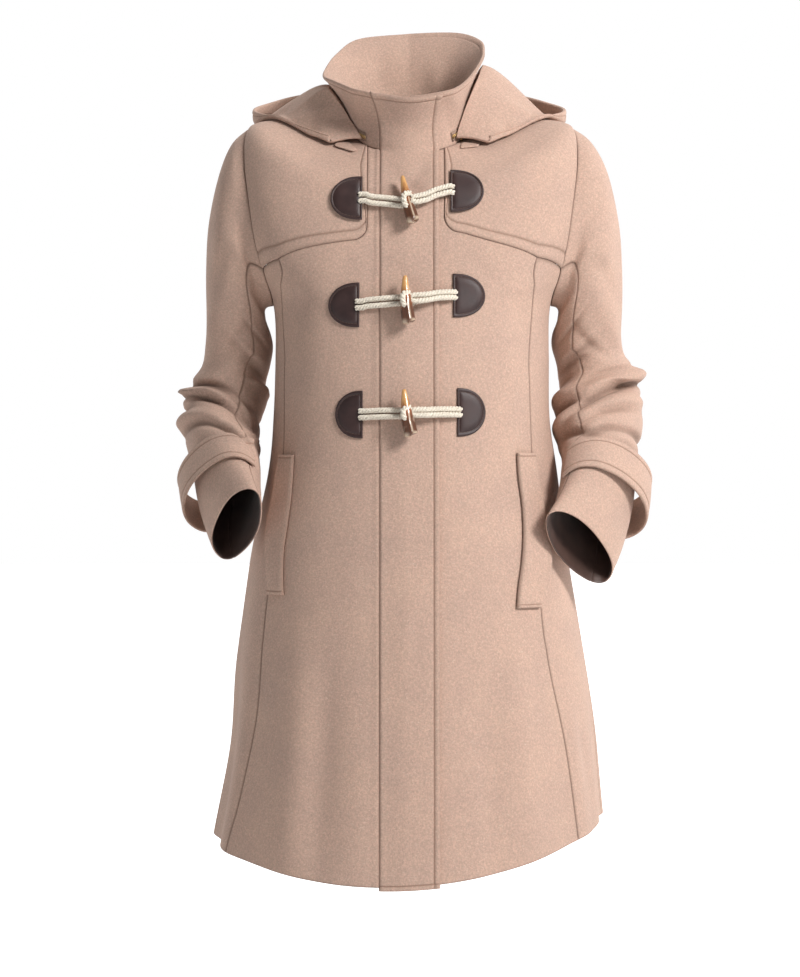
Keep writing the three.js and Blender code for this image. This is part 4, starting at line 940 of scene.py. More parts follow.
# Placket: one doubled strip from the hem to the collar's top, set into the right front's seam
# and lying over the left front. It is topstitched along its free edge, its hem and its top, and
# its free edge stands a little off the coat.
PLACKET_LIFT = np.array([
    # x, height of the outside and of the inside
    [-34.8, -0.4, -3.2], [-30, 1.0, -2.2], [-22, 1.9, -1.1], [-6, 3.5, 0.5], [12, 3.5, 0.5],
    [26, 3.6, 0.5], [33, 4.6, 0.7],
])
PLACKET_DROP = 4
COLLAR_CLEAR = 0.8
PLACKET_TOP = 1.02
PLACKET_CUT = (0.069, 0.93, 0.063)
PLACKET_DRAGS = np.array([
    [1, 26, -84, -18, -132, 6, -1.1],
    [1, 30, -104, -8, -150, 5, 0.9],
    [1, -26, -100, 6, -140, 5, 0.8],
    [1, -20, -200, 8, -238, 8, -0.8],
    [1, 24, -292, -10, -330, 8, 0.7],
    [1, -24, -420, 10, -470, 9, -0.8],
    [1, 14, -560, -14, -640, 10, 0.7],
])
PLACKET_HIGH = 890.0
wide = PLACKET_LEFT - PLACKET_LIFT[0, 0]
spots = stations(np.array([wide]), SEAM_EDGE, STITCHED_EDGE, 3.4)[0]
climb = stations(np.array([PLACKET_HIGH]), STITCHED_EDGE, STITCHED_EDGE, 4.2)[0]
levels = np.linspace(0, 1, 61)
rows_up, shares_up = HEM_ROW * (1 - levels), PLACKET_TOP * levels
line = plain_body(0 * rows_up, rows_up)
on_body = np.concatenate([[0], np.linalg.norm(np.diff(line, axis=0), axis=-1).cumsum()])
line = plain_collar(0 * shares_up, shares_up)
on_collar = np.concatenate([[0], np.linalg.norm(np.diff(line, axis=0), axis=-1).cumsum()])
place = climb / PLACKET_HIGH * (on_body[-1] + on_collar[-1])
row = np.interp(place, on_body, rows_up)[:, None] + 0 * spots
share = np.interp(place - on_body[-1], on_collar, shares_up)[:, None] + 0 * spots
x = PLACKET_LIFT[0, 0] + spots + 0 * row
turn = turn_at(x, row)
above = (place > on_body[-1])[:, None]
onto = smooth(-14, 14, place - on_body[-1])[:, None]
base = np.where(above[..., None], plain_collar(turn, share), flared_body(turn, row))
out = body_out(turn, row) * (1 - onto[..., None]) + collar_out(turn, share) * onto[..., None]
out /= np.linalg.norm(out, axis=-1, keepdims=True)
ease = body_ease(turn, row) * (1 - onto) + collar_ease(turn, share) * onto
drags = creases(x, base[..., 2], np.ones(x.shape), PLACKET_DRAGS)
outside = np.interp(x, PLACKET_LIFT[:, 0], PLACKET_LIFT[:, 1]) + COLLAR_CLEAR * onto
inside = np.interp(x, PLACKET_LIFT[:, 0], PLACKET_LIFT[:, 2]) + COLLAR_CLEAR * onto
from_free, from_seam = wide - spots + 0 * x, spots + 0 * x
low, high = climb[:, None] + 0 * x, PLACKET_HIGH - climb[:, None] + 0 * x
roll = rolled(np.minimum(np.minimum(low, high), np.minimum(from_free, from_seam)), outside - inside)
finish = stitched(from_free) + stitched(low) + stitched(high) + ridge(from_seam)
wave = 0.5 * np.sin(place / 57)[:, None] * smooth(20, 0, from_free)
outer = base + out * (ease + drags + outside + finish + wave - roll)[..., None]
inner = base + out * (ease + inside + roll)[..., None]
outer[..., 2] -= PLACKET_DROP * smooth(60, 0, low)
inner[..., 2] -= PLACKET_DROP * smooth(60, 0, low)
nap = flat_nap_and_seam_shade([(from_free, stitched), (low, stitched), (high, stitched), (from_seam, ridge)])
placket = closed_sheet("placket_cloth", outer, inner, out, [wool], nap)
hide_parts("placket")
width, length, area = PLACKET_CUT
i = np.argmin(np.abs(from_free[0] - STITCH_IN))
j, k = (np.argmin(np.abs(edge[:, 0] - STITCH_IN)) for edge in (low, high))
along_thread(np.concatenate([outer[j, 4:i], outer[j:k, i], outer[k, i:4:-1]]),
             np.concatenate([out[j, 4:i], out[j:k, i], out[k, i:4:-1]]))


# Sleeves: two pieces each, set in at the armhole, bent at the elbow and pushed up the arm, so
# that the cloth lies in rolls over the elbow. Rings from the armhole to the cuff: the outer and
# the inner point (x from the middle), half depth, how far its fore side is raised, how far fore
# and back stand out, and how far the fore side leans in.
SLEEVE = {
    "right": np.array([
        [187, 0, -33, 160, 0, -243, 60, 0, 0, 0], [209, 2, -52, 168, 0, -245, 57, 0, 10, 0],
        [226, 4, -92, 171, 2, -250, 57, 0, 7, 0], [237, 9, -145, 170, 6, -257, 57, 0, 3, 0],
        [240, 17, -200, 168, 12, -264, 55, 0, 0, 0], [241, 26, -250, 165, 20, -275, 54, 0, 0, 0],
        [243, 35, -285, 163, 28, -292, 54, 2, 0, 0], [247, 44, -313, 166, 34, -314, 55, 6, 0, 0],
        [262, 50, -334, 171, 36, -333, 57, 13, 0, 0], [273, 50, -351, 169, 32, -351, 58, 21, 0, 0],
        [268, 40, -369, 175, 22, -370, 56, 29, 0, 0], [272, 27, -388, 176, 8, -389, 55, 35, 0, 0],
        [266, 10, -404, 181, -10, -404, 53, 40, 0, 0], [259, -8, -421, 177, -28, -421, 53, 43, 0, -0.05],
        [252, -28, -440, 173, -48, -440, 54, 45, 0, -0.1],
        [246, -51, -462, 173, -72, -462, 54, 47, 0, -0.16],
        [234, -76, -485, 172, -98, -484, 54, 49, 0, -0.22],
        [225, -93, -501, 170, -113, -498, 54, 50, 0, -0.25],
    ]),
    "left": np.array([
        [190, 0, -33, 166, 0, -243, 60, 0, 0, 0], [213, 2, -49, 173, 0, -245, 57, 0, 10, 0],
        [234, 4, -86, 176, 2, -250, 57, 0, 7, 0], [247, 9, -143, 175, 6, -257, 57, 0, 3, 0],
        [251, 17, -197, 173, 12, -264, 55, 0, 0, 0], [253, 26, -242, 170, 20, -275, 54, 0, 0, 0],
        [253, 35, -280, 170, 28, -290, 54, 2, 0, 0], [257, 43, -302, 174, 33, -307, 55, 6, 0, 0],
        [271, 49, -318, 177, 35, -323, 57, 13, 0, 0], [279, 50, -336, 178, 32, -341, 58, 21, 0, 0],
        [272, 42, -355, 172, 23, -361, 56, 28, 0, 0], [277, 28, -377, 171, 9, -382, 55, 34, 0, 0],
        [276, 12, -397, 173, -8, -402, 54, 39, 0, -0.02], [268, -6, -416, 179, -26, -422, 54, 42, 0, -0.08],
        [264, -26, -438, 176, -47, -446, 54, 44, 0, -0.16],
        [258, -50, -466, 174, -71, -474, 55, 46, 0, -0.26],
        [243, -75, -499, 168, -96, -503, 55, 48, 0, -0.36],
        [226, -94, -529, 161, -114, -523, 55, 50, 0, -0.44],
    ]),
}
# Folds: ring and turn of the middle (0 outer side, 90 front), half breadth in rings, spread round
# the sleeve in degrees, rings it falls by in a quarter turn, height.
SLEEVE_FOLDS = {
    "right": np.array([
        [8.88, 50, 0.45, 62, 1.67, -11], [9.65, 50, 0.38, 62, 1.9, 11], [10.1, 56, 0.24, 66, 2.0, -12],
        [10.1, 12, 0.22, 34, 1.6, -6], [11.1, 20, 0.4, 55, 1.4, 6], [12.0, 40, 0.3, 50, 1.2, -7],
        [12.9, 95, 0.32, 40, 2.2, 5], [13.55, 102, 0.22, 40, 2.2, -6], [11.4, 130, 0.16, 24, 3.2, -5],
        [12.0, 138, 0.16, 24, 3.2, 4], [10.7, 122, 0.16, 22, 3.0, 3], [8.7, 160, 0.3, 45, 0.2, 4],
        [10.4, 168, 0.28, 40, -0.3, -5], [12.7, 165, 0.35, 40, -0.4, 4],
        [4.6, 55, 1.3, 30, -3.2, 4.5], [3.2, 70, 0.5, 24, -3.4, -3.4], [2.2, 95, 0.5, 22, -3.0, 2.6],
        [5.6, 92, 0.6, 26, -3.0, -3.2], [6.9, 125, 0.3, 30, 1.7, -4], [6.3, 108, 0.3, 34, 1.9, 3],
        [7.6, 140, 0.4, 40, 1.4, -5], [5.4, 128, 0.3, 26, 2.6, -3], [9.2, 250, 0.6, 50, 0.4, -5],
        [9.9, 260, 0.22, 40, 0.5, 4], [11.2, 285, 0.6, 50, -0.4, -4], [8.3, 300, 0.22, 36, -0.6, -4],
        [10.4, 225, 0.2, 34, -0.7, -3.5], [6.8, 280, 0.4, 40, -1.2, 3],
    ]),
    "left": np.array([
        [8.5, 50, 0.4, 60, 1.9, -5], [9.35, 50, 0.5, 62, 2.1, 11], [10.1, 56, 0.26, 68, 1.97, -13],
        [10.9, 40, 0.5, 60, 1.7, 7], [11.9, 78, 0.26, 38, 1.2, -7], [12.6, 20, 0.26, 46, 1.2, -7],
        [13.1, 78, 0.22, 30, 0.6, -6], [13.3, 30, 0.4, 40, 0.8, 3.5], [10.15, 150, 0.34, 36, -0.5, 7],
        [10.8, 145, 0.24, 38, -0.6, -8], [11.9, 145, 0.42, 36, -1.0, 7], [12.85, 132, 0.26, 42, -1.4, -8],
        [13.6, 140, 0.3, 34, -1.0, 3], [8.9, 165, 0.3, 36, 0.2, -3.5],
        [5.2, 60, 1.2, 30, -3.4, 4.5], [3.4, 74, 0.5, 24, -3.4, -3.6], [2.3, 96, 0.5, 22, -3.0, 2.6],
        [6.1, 96, 0.6, 26, -3.2, -3.4], [7.0, 122, 0.3, 30, 1.7, -4], [6.2, 108, 0.3, 32, 2.0, 3],
        [7.8, 138, 0.4, 38, 1.2, -5], [5.2, 126, 0.3, 26, 2.6, -3], [9.3, 255, 0.6, 50, -0.3, -5],
        [10.0, 262, 0.22, 40, 0.5, 4], [11.4, 290, 0.6, 50, 0.4, -4], [8.2, 304, 0.22, 36, -0.6, -4],
        [10.5, 228, 0.2, 34, 0.7, -3.5], [6.9, 282, 0.4, 40, 1.2, 3],
    ]),
}
CUFF_ROW = 17
ARMHOLE_GAP = 0.2
# How dark the deepest fold valleys are painted: painted shade in the folds
FOLD_SHADE = 0.8
SLEEVE_WALL = 2.6
FRONT_SEAM, BACK_SEAM = 120, -105
SLEEVE_CUTS = {"upper": (0.24, 0.52, 0.094), "under": (0.14, 0.41, 0.045)}


def sleeve_ring(name, turn, index):
    """A ring's point: an oval from its outer to its inner point, whose fore side is raised by
    its pitch and leans in. The first ring is the armhole itself."""
    side = SIDES[name]
    index = np.clip(index, 0, CUFF_ROW)
    columns = np.moveaxis(SLEEVE[name][index], -1, 0)
    out_x, out_y, out_z, in_x, in_y, in_z, depth, pitch, belly, lean = columns
    c, s = np.cos(np.radians(turn)), np.sin(np.radians(turn))
    pitch, out_share = np.radians(pitch), (1 + c) / 2
    ring = np.stack([
        side * (in_x + (out_x - in_x) * out_share + belly * s * s + depth * s * lean),
        in_y + (out_y - in_y) * out_share - depth * s * np.cos(pitch),
        in_z + (out_z - in_z) * out_share + depth * s * np.sin(pitch),
    ], -1)
    round_by = turn % 360
    front = armhole(side, "front", np.minimum(round_by, 180) / 180 * ARMHOLE_STEPS)
    back = armhole(side, "back", np.minimum(360 - round_by, 180) / 180 * ARMHOLE_STEPS)
    hole = np.where((round_by <= 180)[..., None], front, back)
    seam = plain_body(hole[..., 0], hole[..., 1])
    seam[..., 0] += side * ARMHOLE_GAP
    return np.where((index == 0)[..., None], seam, ring)


def plain_sleeve(name, turn, row):
    """A smooth curve through the rings, as rows_at draws it through a table."""
    t = np.clip(row, 0, CUFF_ROW)
    i = np.minimum(np.floor(t), CUFF_ROW - 1).astype(int)
    f = (row - i)[..., None]
    a, b, c, d = (sleeve_ring(name, turn, i + k) for k in (-1, 0, 1, 2))
    return 0.5 * (2 * b + (c - a) * f + (2 * a - 5 * b + 4 * c - d) * f**2 + (3 * b - a - 3 * c + d) * f**3)


def sleeve_out(name, turn, row):
    """The sleeve's outward normal."""
    held = np.clip(row, 0.03, CUFF_ROW - 0.03)
    return SIDES[name] * across_both(lambda u, v: plain_sleeve(name, u, v), turn, held, 1, 0.02)


def sleeve_ease(name, turn, row):
    """The sum of its folds, each a bell across and along its slanting line, steeper on the side
    where a ridge hangs over a valley, and slow waves."""
    table = SLEEVE_FOLDS[name]
    away = (turn[..., None] - table[:, 1] + 900) % 360 - 180
    across_it = (row[..., None] - table[:, 0] - table[:, 4] * away / 90) / table[:, 2]
    steep = np.where(across_it * table[:, 5] > 0, 0.62, 1.25)
    folds = (table[:, 5] * np.exp(-((across_it / steep) ** 2) - (away / table[:, 3]) ** 2)).sum(-1)
    angle = np.radians(turn)
    waves = 0.7 * np.sin(3 * angle + row * 0.9) * np.sin(row * 1.1 + 0.7)
    waves += 0.45 * np.sin(5 * angle - row * 1.7 + 1.0)
    return (folds + waves * smooth(0.3, 2, row)) * smooth(-0.2, 1.0, row)


UPPER_ROUND, UNDER_ROUND, SLEEVE_STEP = 225.0, 118.0, 3.0
levels = np.linspace(0.012, CUFF_ROW, 240)
for name in SIDES:
    middle_line = plain_sleeve(name, 0 * levels + 45, levels)
    so_far = np.concatenate([[0], np.linalg.norm(np.diff(middle_line, axis=0), axis=-1).cumsum()])
    down = stations(np.array([so_far[-1]]), SEAM_EDGE, SEAM_EDGE, SLEEVE_STEP)[0]
    row = np.interp(down, so_far, levels)
    for piece, first, last, width in (
        ("upper", BACK_SEAM, FRONT_SEAM, UPPER_ROUND), ("under", FRONT_SEAM, BACK_SEAM + 360, UNDER_ROUND),
    ):
        spots = stations(np.array([width]), SEAM_EDGE, SEAM_EDGE, 3.4)[0]
        turn, at_row = np.meshgrid(first + (last - first) * spots / width, row)
        head, cuff = down[:, None] + 0 * turn, so_far[-1] - down[:, None] + 0 * turn
        here, there = spots + 0 * turn, width - spots + 0 * turn
        out = sleeve_out(name, turn, at_row)
        base = plain_sleeve(name, turn, at_row)
        ease = sleeve_ease(name, turn, at_row)
        at_seams = np.minimum(head, np.minimum(here, there))
        roll = np.maximum(rolled(cuff, SLEEVE_WALL), rolled(at_seams, SEAM_ROLL))
        finish = sewn_in(here) + sewn_in(there) + sewn_in(head)
        outer = base + out * (ease + finish - roll)[..., None]
        inner = base + out * (ease + 0.5 * finish - SLEEVE_WALL + roll)[..., None]
        # Darkening mask: the seams' pressed nap and painted shade, and painted shade in the deepest fold
        # valleys
        nap = np.maximum(flat_nap_and_seam_shade([(at_seams, sewn_in)]), FOLD_SHADE * smooth(0.5, 7, -ease))
        made = closed_sheet(f"sleeve_{piece}_{name}_cloth", outer, inner, out, [wool, lining], nap)
        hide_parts(f"sleeve_{piece}_{name}")
        width, length, area = SLEEVE_CUTS[piece]

# Cuff straps: a doubled band over the outside of each forearm, caught in the front and back
# seams and topstitched along both edges. It stands off the sleeve in its middle.
STRAP = np.array([
    [129, 1.6], [105, 2.2], [80, 3], [55, 4], [30, 8], [5, 13], [-15, 16], [-35, 16], [-55, 12],
    [-75, 6], [-97, 0.6],
])
STRAP_ROWS = {"right": (13.75, 15.15), "left": (13.9, 15.2)}
STRAP_THICK, STRAP_WIDE, STRAP_LONG = 3.0, 40.0, 245.0
STRAP_CUT = (0.043, 0.255, 0.0108)
for name in SIDES:
    spots = stations(np.array([STRAP_WIDE]), STITCHED_EDGE, STITCHED_EDGE, 3)[0]
    along = stations(np.array([STRAP_LONG]), SEAM_EDGE, SEAM_EDGE, 3.2)[0]
    place, row = np.meshgrid(along / STRAP_LONG * (len(STRAP) - 1), spots)
    first, last = STRAP_ROWS[name]
    row = first + (last - first) * row / STRAP_WIDE
    shaped = rows_at(STRAP, place)
    turn, off = shaped[..., 0], shaped[..., 1]
    one, other = spots[:, None] + 0 * turn, STRAP_WIDE - spots[:, None] + 0 * turn
    start, end = along + 0 * turn, STRAP_LONG - along + 0 * turn
    roll = rolled(np.minimum(np.minimum(one, other), np.minimum(start, end)), STRAP_THICK)
    finish = 0.8 * (stitched(one) + stitched(other))
    out = sleeve_out(name, turn, row)
    near = plain_sleeve(name, turn, row) + out * (sleeve_ease(name, turn, row) + SEAM_GAP + off)[..., None]
    outer = near + out * (STRAP_THICK + finish - roll)[..., None]
    inner = near + out * roll[..., None]
    nap = flat_nap_and_seam_shade([(one, stitched), (other, stitched)])
    made = closed_sheet(f"cuff_strap_{name}_cloth", outer, inner, out, [wool], nap)
    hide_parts(f"cuff_strap_{name}")
    width, length, area = STRAP_CUT
    for edge in (one, other):
        j = np.argmin(np.abs(edge[:, 0] - STITCH_IN))
        along_thread(outer[j], out[j])


# Pocket welts: a slanted doubled strip on each princess seam. Its inner edge is sewn down, its
# ends are stitched across, and its outer edge, the pocket's mouth, stands a little open.
WELTS = {
    "right": np.array([
        [-580, 160, 142, 1], [-556, 161, 143, 3], [-528, 163, 142, 3], [-500, 160, 138, 4],
        [-470, 154, 134, 3.4], [-443, 150, 132, 3], [-420, 147, 131, 0.6],
    ]),
    "left": np.array([
        [-594, 146, 119, 1], [-570, 154, 121, 3], [-541, 158, 125, 3], [-510, 155, 127, 4],
        [-478, 149, 126, 3.4], [-446, 144, 122, 3], [-418, 141, 120, 0.6],
    ]),
}
WELT_THICK, WELT_WIDE = 3.5, 20.0
WELT_CUTS = {"right": (0.033, 0.170, 0.0056), "left": (0.041, 0.178, 0.0072)}
for name, side in SIDES.items():
    table = WELTS[name]
    tall = table[-1, 0] - table[0, 0]
    climb = stations(np.array([tall]), STITCHED_EDGE, STITCHED_EDGE, 3.4)[0]
    spots = stations(np.array([WELT_WIDE]), SEAM_EDGE, SEAM_EDGE, 2.6)[0]
    shaped = rows_at(table, climb / tall * (len(table) - 1))
    t = spots / WELT_WIDE
    x = side * (shaped[:, 2:3] + (shaped[:, 1:2] - shaped[:, 2:3]) * t)
    turn, row = on_front(x, shaped[:, 0:1] + 0 * x)
    low, high = climb[:, None] + 0 * x, tall - climb[:, None] + 0 * x
    inward, outward = spots + 0 * x, WELT_WIDE - spots + 0 * x
    off = shaped[:, 3:4] * t**2 + SEAM_GAP + 0.5
    roll = rolled(np.minimum(np.minimum(low, high), np.minimum(inward, outward)), WELT_THICK)
    finish = 0.7 * (stitched(low) + stitched(high)) + sewn_in(inward)
    finish += 0.6 * np.exp(-(((outward - 2.4) / 2) ** 2))
    near = body_point(turn, row)
    out = body_out(turn, row)
    outer = near + out * (off + WELT_THICK + finish - roll)[..., None]
    inner = near + out * (off + roll)[..., None]
    nap = flat_nap_and_seam_shade([(low, stitched), (high, stitched), (inward, sewn_in)])
    made = closed_sheet(f"pocket_welt_{name}_cloth", outer, inner, out, [wool], nap)
    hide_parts(f"pocket_welt_{name}")
    width, length, area = WELT_CUTS[name]
    for edge in (low, high):
        j = np.argmin(np.abs(edge[:, 0] - STITCH_IN))
        along_thread(outer[j], out[j])

# Leather patches: D-shaped pieces of smooth dark brown leather, one at each end of the three
# fastenings, stitched down near the edge with the cords' ends under them.
ON_YOKE = YOKE_RAISE + 1.5
PATCH_THICK = 2.0
PATCH_STITCH_IN = 2.6
# Straight edge and far point of the round side, top, bottom, and how far it is raised
PATCHES = {
    "right_1": (-54, -90, -104, -154, ON_YOKE), "left_1": (46, 84, -96, -145, ON_YOKE),
    "right_2": (-57, -92, -225, -276, 0), "left_2": (48.5, 85, -215, -265, 0),
    "right_3": (-53, -84, -348, -402, 0), "left_3": (53, 85, -345, -400, 0),
}
LEATHER_BROWN = (0.024, 0.009, 0.0085, 1)
LEATHER_WORN = (0.042, 0.017, 0.015, 1)

leather = bpy.data.materials.new("smooth_brown_leather")
nodes, link = new_nodes(leather)
where = nodes.new("ShaderNodeTexCoord").outputs["Object"]
cloudy = noise(nodes, link, where, 60, 4)
grain = nodes.new("ShaderNodeTexVoronoi")
grain.inputs["Scale"].default_value = 1500
link(where, grain.inputs["Vector"])
lumps = set_inputs(nodes.new("ShaderNodeBump"), Strength=0.30, Distance=0.0004)
link(grain.outputs["Distance"], lumps.inputs["Height"])
shader = set_inputs(nodes.new("ShaderNodeBsdfPrincipled"), Coat_Weight=0.08, Coat_Roughness=0.4)
colour = blend(nodes, link, ramp(nodes, link, cloudy, 0.35, 0.7), LEATHER_BROWN, LEATHER_WORN)
link(colour, shader.inputs["Base Color"])
link(ramp(nodes, link, cloudy, 0.3, 0.7, 0.42, 0.58), shader.inputs["Roughness"])
link(lumps.outputs[0], shader.inputs["Normal"])
show(nodes, link, shader)


def plate_on_front(name, outline, raised, thick, shape, finishes):
    """A flat piece laid on the front: rings of its outline, drawn in towards the middle, whose
    height over the coat is shape(distance from the edge)."""
    centre = outline.mean(0)
    radius = np.linalg.norm(outline - centre, axis=-1).min()
    distances = np.concatenate([[0, 0.15, 0.45, 0.9, 1.5, 2.1, 2.6, 3.1, 4], np.linspace(5.2, radius, 7)])
    share = np.maximum(1 - distances / radius, 0.002)
    at = centre + (outline - centre) * share[:, None, None]
    turn, row = on_front(at[..., 0], at[..., 1])
    out = body_out(turn, row)
    near = body_point(turn, row, raised)
    roll = rolled(distances, thick)[:, None]
    rise = shape(distances)[:, None]
    outer = near + out * (thick + rise - roll)[..., None]
    inner = near + out * (roll + 0 * rise)[..., None]
    points = np.concatenate([inner[:0:-1], outer])
    rows, columns = points.shape[:2]
    faces = grid_faces(rows, columns, True)
    if out[0, 0] @ np.cross(outer[1, 0] - outer[0, 0], outer[0, 1] - outer[0, 0]) > 0:
        faces = faces[:, ::-1]
    return mesh_object(name, points, faces, finishes), outer, out


def patch_outline(straight, far, top, bottom):
    """A D from its corner round to the other: x runs out with the cosine to the power 0.8."""
    middle, half = (top + bottom) / 2, (top - bottom) / 2
    angle = np.pi * (np.linspace(0, 1, 61) - 0.5)
    across = straight + (far - straight) * reach(np.cos(angle), 0.8)
    arc = np.stack([across, middle + half * np.sin(angle)], -1)
    edge = np.linspace(arc[-1], arc[0], 26)[1:-1]
    return np.concatenate([arc, edge])


def leather_dome(distance):
    """Stitched leather: flat rim, a groove at the thread, and a soft dome inside it."""
    groove = -0.8 * np.exp(-(((distance - PATCH_STITCH_IN) / 0.5) ** 2))
    return groove + 0.7 * smooth(2.6, 7, distance)


leather_lines = []
for name, (straight, far, top, bottom, raised) in PATCHES.items():
    made, outer, out = plate_on_front(
        f"patch_{name}_leather", patch_outline(straight, far, top, bottom), raised + SEAM_GAP, PATCH_THICK,
        leather_dome, [leather],
    )
    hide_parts(f"patch_{name}")
    ring = outer[6] + out[6] * 0.1
    leather_lines.append((np.concatenate([ring, ring[:1]]), out[6]))

# Toggles: three tapered pieces of polished horn, tip up, honey at the tip and dark at the foot.
# The toggle cord passes through each at its middle, and the lower half has two shallow flutes.
TOGGLES = [(-8.5, -110, 4, -161), (-5.5, -221, -1, -274), (-6.5, -348, 1.5, -401)]
TOGGLE_LIFT = 18
TOGGLE = np.array([
    [0, 0], [0.012, 1.5], [0.03, 2.5], [0.25, 4.6], [0.5, 6.4], [0.75, 7.6], [0.95, 8], [0.985, 7.4],
    [1, 0],
])
HORN_HONEY = (0.62, 0.33, 0.12, 1)
HORN_AMBER = (0.27, 0.085, 0.030, 1)
HORN_DARK = (0.050, 0.022, 0.014, 1)
# Pale horn: the colour of the pale veins, and also painted as a highlight line down the lower half and as
# pale bands round the foot
HORN_PALE_AND_HIGHLIGHT = (0.66, 0.52, 0.38, 1)

horn = bpy.data.materials.new("polished_horn")
nodes, link = new_nodes(horn)
where = nodes.new("ShaderNodeTexCoord").outputs["Object"]
share_of = nodes.new("ShaderNodeAttribute")
share_of.attribute_name = "share"
streaks = noise(nodes, link, where, 180, 4, 0.6, (1, 1, 0.18))
patchy = noise(nodes, link, where, 60, 2, 0.5, (1, 1, 0.5))
place = nodes.new("ShaderNodeMath")
place.operation = "ADD"
link(share_of.outputs["Fac"], place.inputs[0])
link(ramp(nodes, link, streaks, 0.3, 0.7, -0.12, 0.12), place.inputs[1])
upper = blend(nodes, link, ramp(nodes, link, place.outputs[0], 0.18, 0.42), HORN_HONEY, HORN_AMBER)
lower = blend(nodes, link, ramp(nodes, link, place.outputs[0], 0.45, 0.72, 0, 0.75), upper, HORN_DARK)
veined = blend(nodes, link, ramp(nodes, link, patchy, 0.60, 0.68, 0, 0.45), lower, HORN_PALE_AND_HIGHLIGHT)
# Painted highlight: a pale line and pale foot bands stored on the mesh, mixed over the horn's colour
highlight_of = nodes.new("ShaderNodeAttribute")
highlight_of.attribute_name = "highlight_and_pale_foot"
colour = blend(nodes, link, highlight_of.outputs["Fac"], veined, HORN_PALE_AND_HIGHLIGHT)
shader = set_inputs(
    nodes.new("ShaderNodeBsdfPrincipled"), Roughness=0.22, Coat_Weight=0.6, Coat_Roughness=0.08,
)
link(colour, shader.inputs["Base Color"])
show(nodes, link, shader)

TOGGLE_CORNERS = 40
for number, (tip_x, tip_z, foot_x, foot_z) in enumerate(TOGGLES, 1):
    tip, foot = front_point(tip_x, tip_z, TOGGLE_LIFT), front_point(foot_x, foot_z, TOGGLE_LIFT)
    axis = foot - tip
    near_ends = [0.005, 0.012, 0.02, 0.96, 0.975, 0.985, 0.993, 0.998]
    level = np.unique(np.concatenate([np.linspace(0, 1, 44), near_ends]))
    radius = np.maximum(np.interp(level, TOGGLE[:, 0], TOGGLE[:, 1]), 0.02)[:, None]
    turn = np.linspace(0, 2 * np.pi, TOGGLE_CORNERS, endpoint=False)
    beside = np.cross(axis / np.linalg.norm(axis), [0, -1, 0])
    before = np.cross(beside, axis / np.linalg.norm(axis))
    flute = sum(np.exp(-(((turn - at + np.pi) % (2 * np.pi) - np.pi) / 0.34) ** 2) for at in (1.15, 2.25))
    radius = radius * (1 - 0.15 * flute * smooth(0.5, 0.72, level)[:, None])
    slant = 1.6 * np.cos(turn) * smooth(0.9, 1, level)[:, None]
    bend = 1.2 * np.sin(np.pi * level)[:, None, None] * beside
    points = tip + axis * level[:, None, None] + bend
    points = points + radius[..., None] * (np.cos(turn)[:, None] * beside + np.sin(turn)[:, None] * before)
    points = points + slant[..., None] * axis / np.linalg.norm(axis)
    faces = grid_faces(len(level), TOGGLE_CORNERS, True)
    caps = np.arange(TOGGLE_CORNERS)
    normal = np.cross(points[1, 0] - points[0, 0], points[0, 1] - points[0, 0])
    mesh_points = np.concatenate([points.reshape(-1, 3), points[:1].mean(1), points[-1:].mean(1)])
    last = len(level) * TOGGLE_CORNERS
    ring = last - TOGGLE_CORNERS + caps
    cap_faces = [[last, (i + 1) % TOGGLE_CORNERS, i] for i in range(TOGGLE_CORNERS)]
    cap_faces += [[last + 1, a, b] for a, b in zip(ring, np.roll(ring, -1))]
    faces = faces.tolist() + cap_faces
    mesh = bpy.data.meshes.new(f"toggle_{number}_horn")
    mesh.from_pydata((mesh_points * MM).tolist(), [], faces)
    mesh.materials.append(horn)
    mesh.polygons.foreach_set("use_smooth", np.ones(len(mesh.polygons), bool))
    # Painted highlight: a pale line down the lower half between the flutes, where a gloss reflection would
    # show, and pale bands round the foot
    worn_and_highlight_span = smooth(0.4, 0.5, level) * smooth(0.97, 0.9, level)
    highlight_and_pale_foot = 0.8 * np.exp(-(((turn - 1.95) / 0.13) ** 2)) * worn_and_highlight_span[:, None]
    highlight_and_pale_foot = highlight_and_pale_foot + 0.7 * smooth(0.9, 0.97, level)[:, None] * (0.5 + 0.5 * np.sin(3 * turn))
    for key, value in (("share", np.repeat(level, TOGGLE_CORNERS)), ("highlight_and_pale_foot", highlight_and_pale_foot.reshape(-1))):
        values = mesh.attributes.new(key, "FLOAT", "POINT")
        ends = [0, 1] if key == "share" else [0, 0.3]
        values.data.foreach_set("value", np.concatenate([value, ends]).astype(np.float32))
    made = bpy.data.objects.new(mesh.name, mesh)
    bpy.context.scene.collection.objects.link(made)
    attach(made, "root")
    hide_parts(f"toggle_{number}")

# Cords: twisted cream cotton of three strands. A loop runs out from each right patch, behind the
# toggle and back. On the left two lengths lie side by side from the toggle to the patch.
CORD = 6.2
LOOP_LIFT = 7.6
PITCH = 11.5
STRAND_OUT, STRAND_RADIUS = 1.72, 1.6
STRAND_GAP = 0.6
TOGGLE_RADIUS = 7
CREAM = (0.80, 0.74, 0.64, 1)
CREAM_SHADE = (0.50, 0.42, 0.32, 1)

cotton = bpy.data.materials.new("cream_cotton_cord")
nodes, link = new_nodes(cotton)
where = nodes.new("ShaderNodeTexCoord").outputs["Object"]
fibres = noise(nodes, link, where, 900, 3, 0.6)
fuzz = set_inputs(nodes.new("ShaderNodeBump"), Strength=0.35, Distance=0.0005)
link(fibres, fuzz.inputs["Height"])
shader = set_inputs(nodes.new("ShaderNodeBsdfPrincipled"), Roughness=0.85, Sheen_Weight=0.15)
colour = blend(nodes, link, ramp(nodes, link, fibres, 0.3, 0.6), CREAM_SHADE, CREAM)
link(colour, shader.inputs["Base Color"])
link(fuzz.outputs[0], shader.inputs["Normal"])
show(nodes, link, shader)


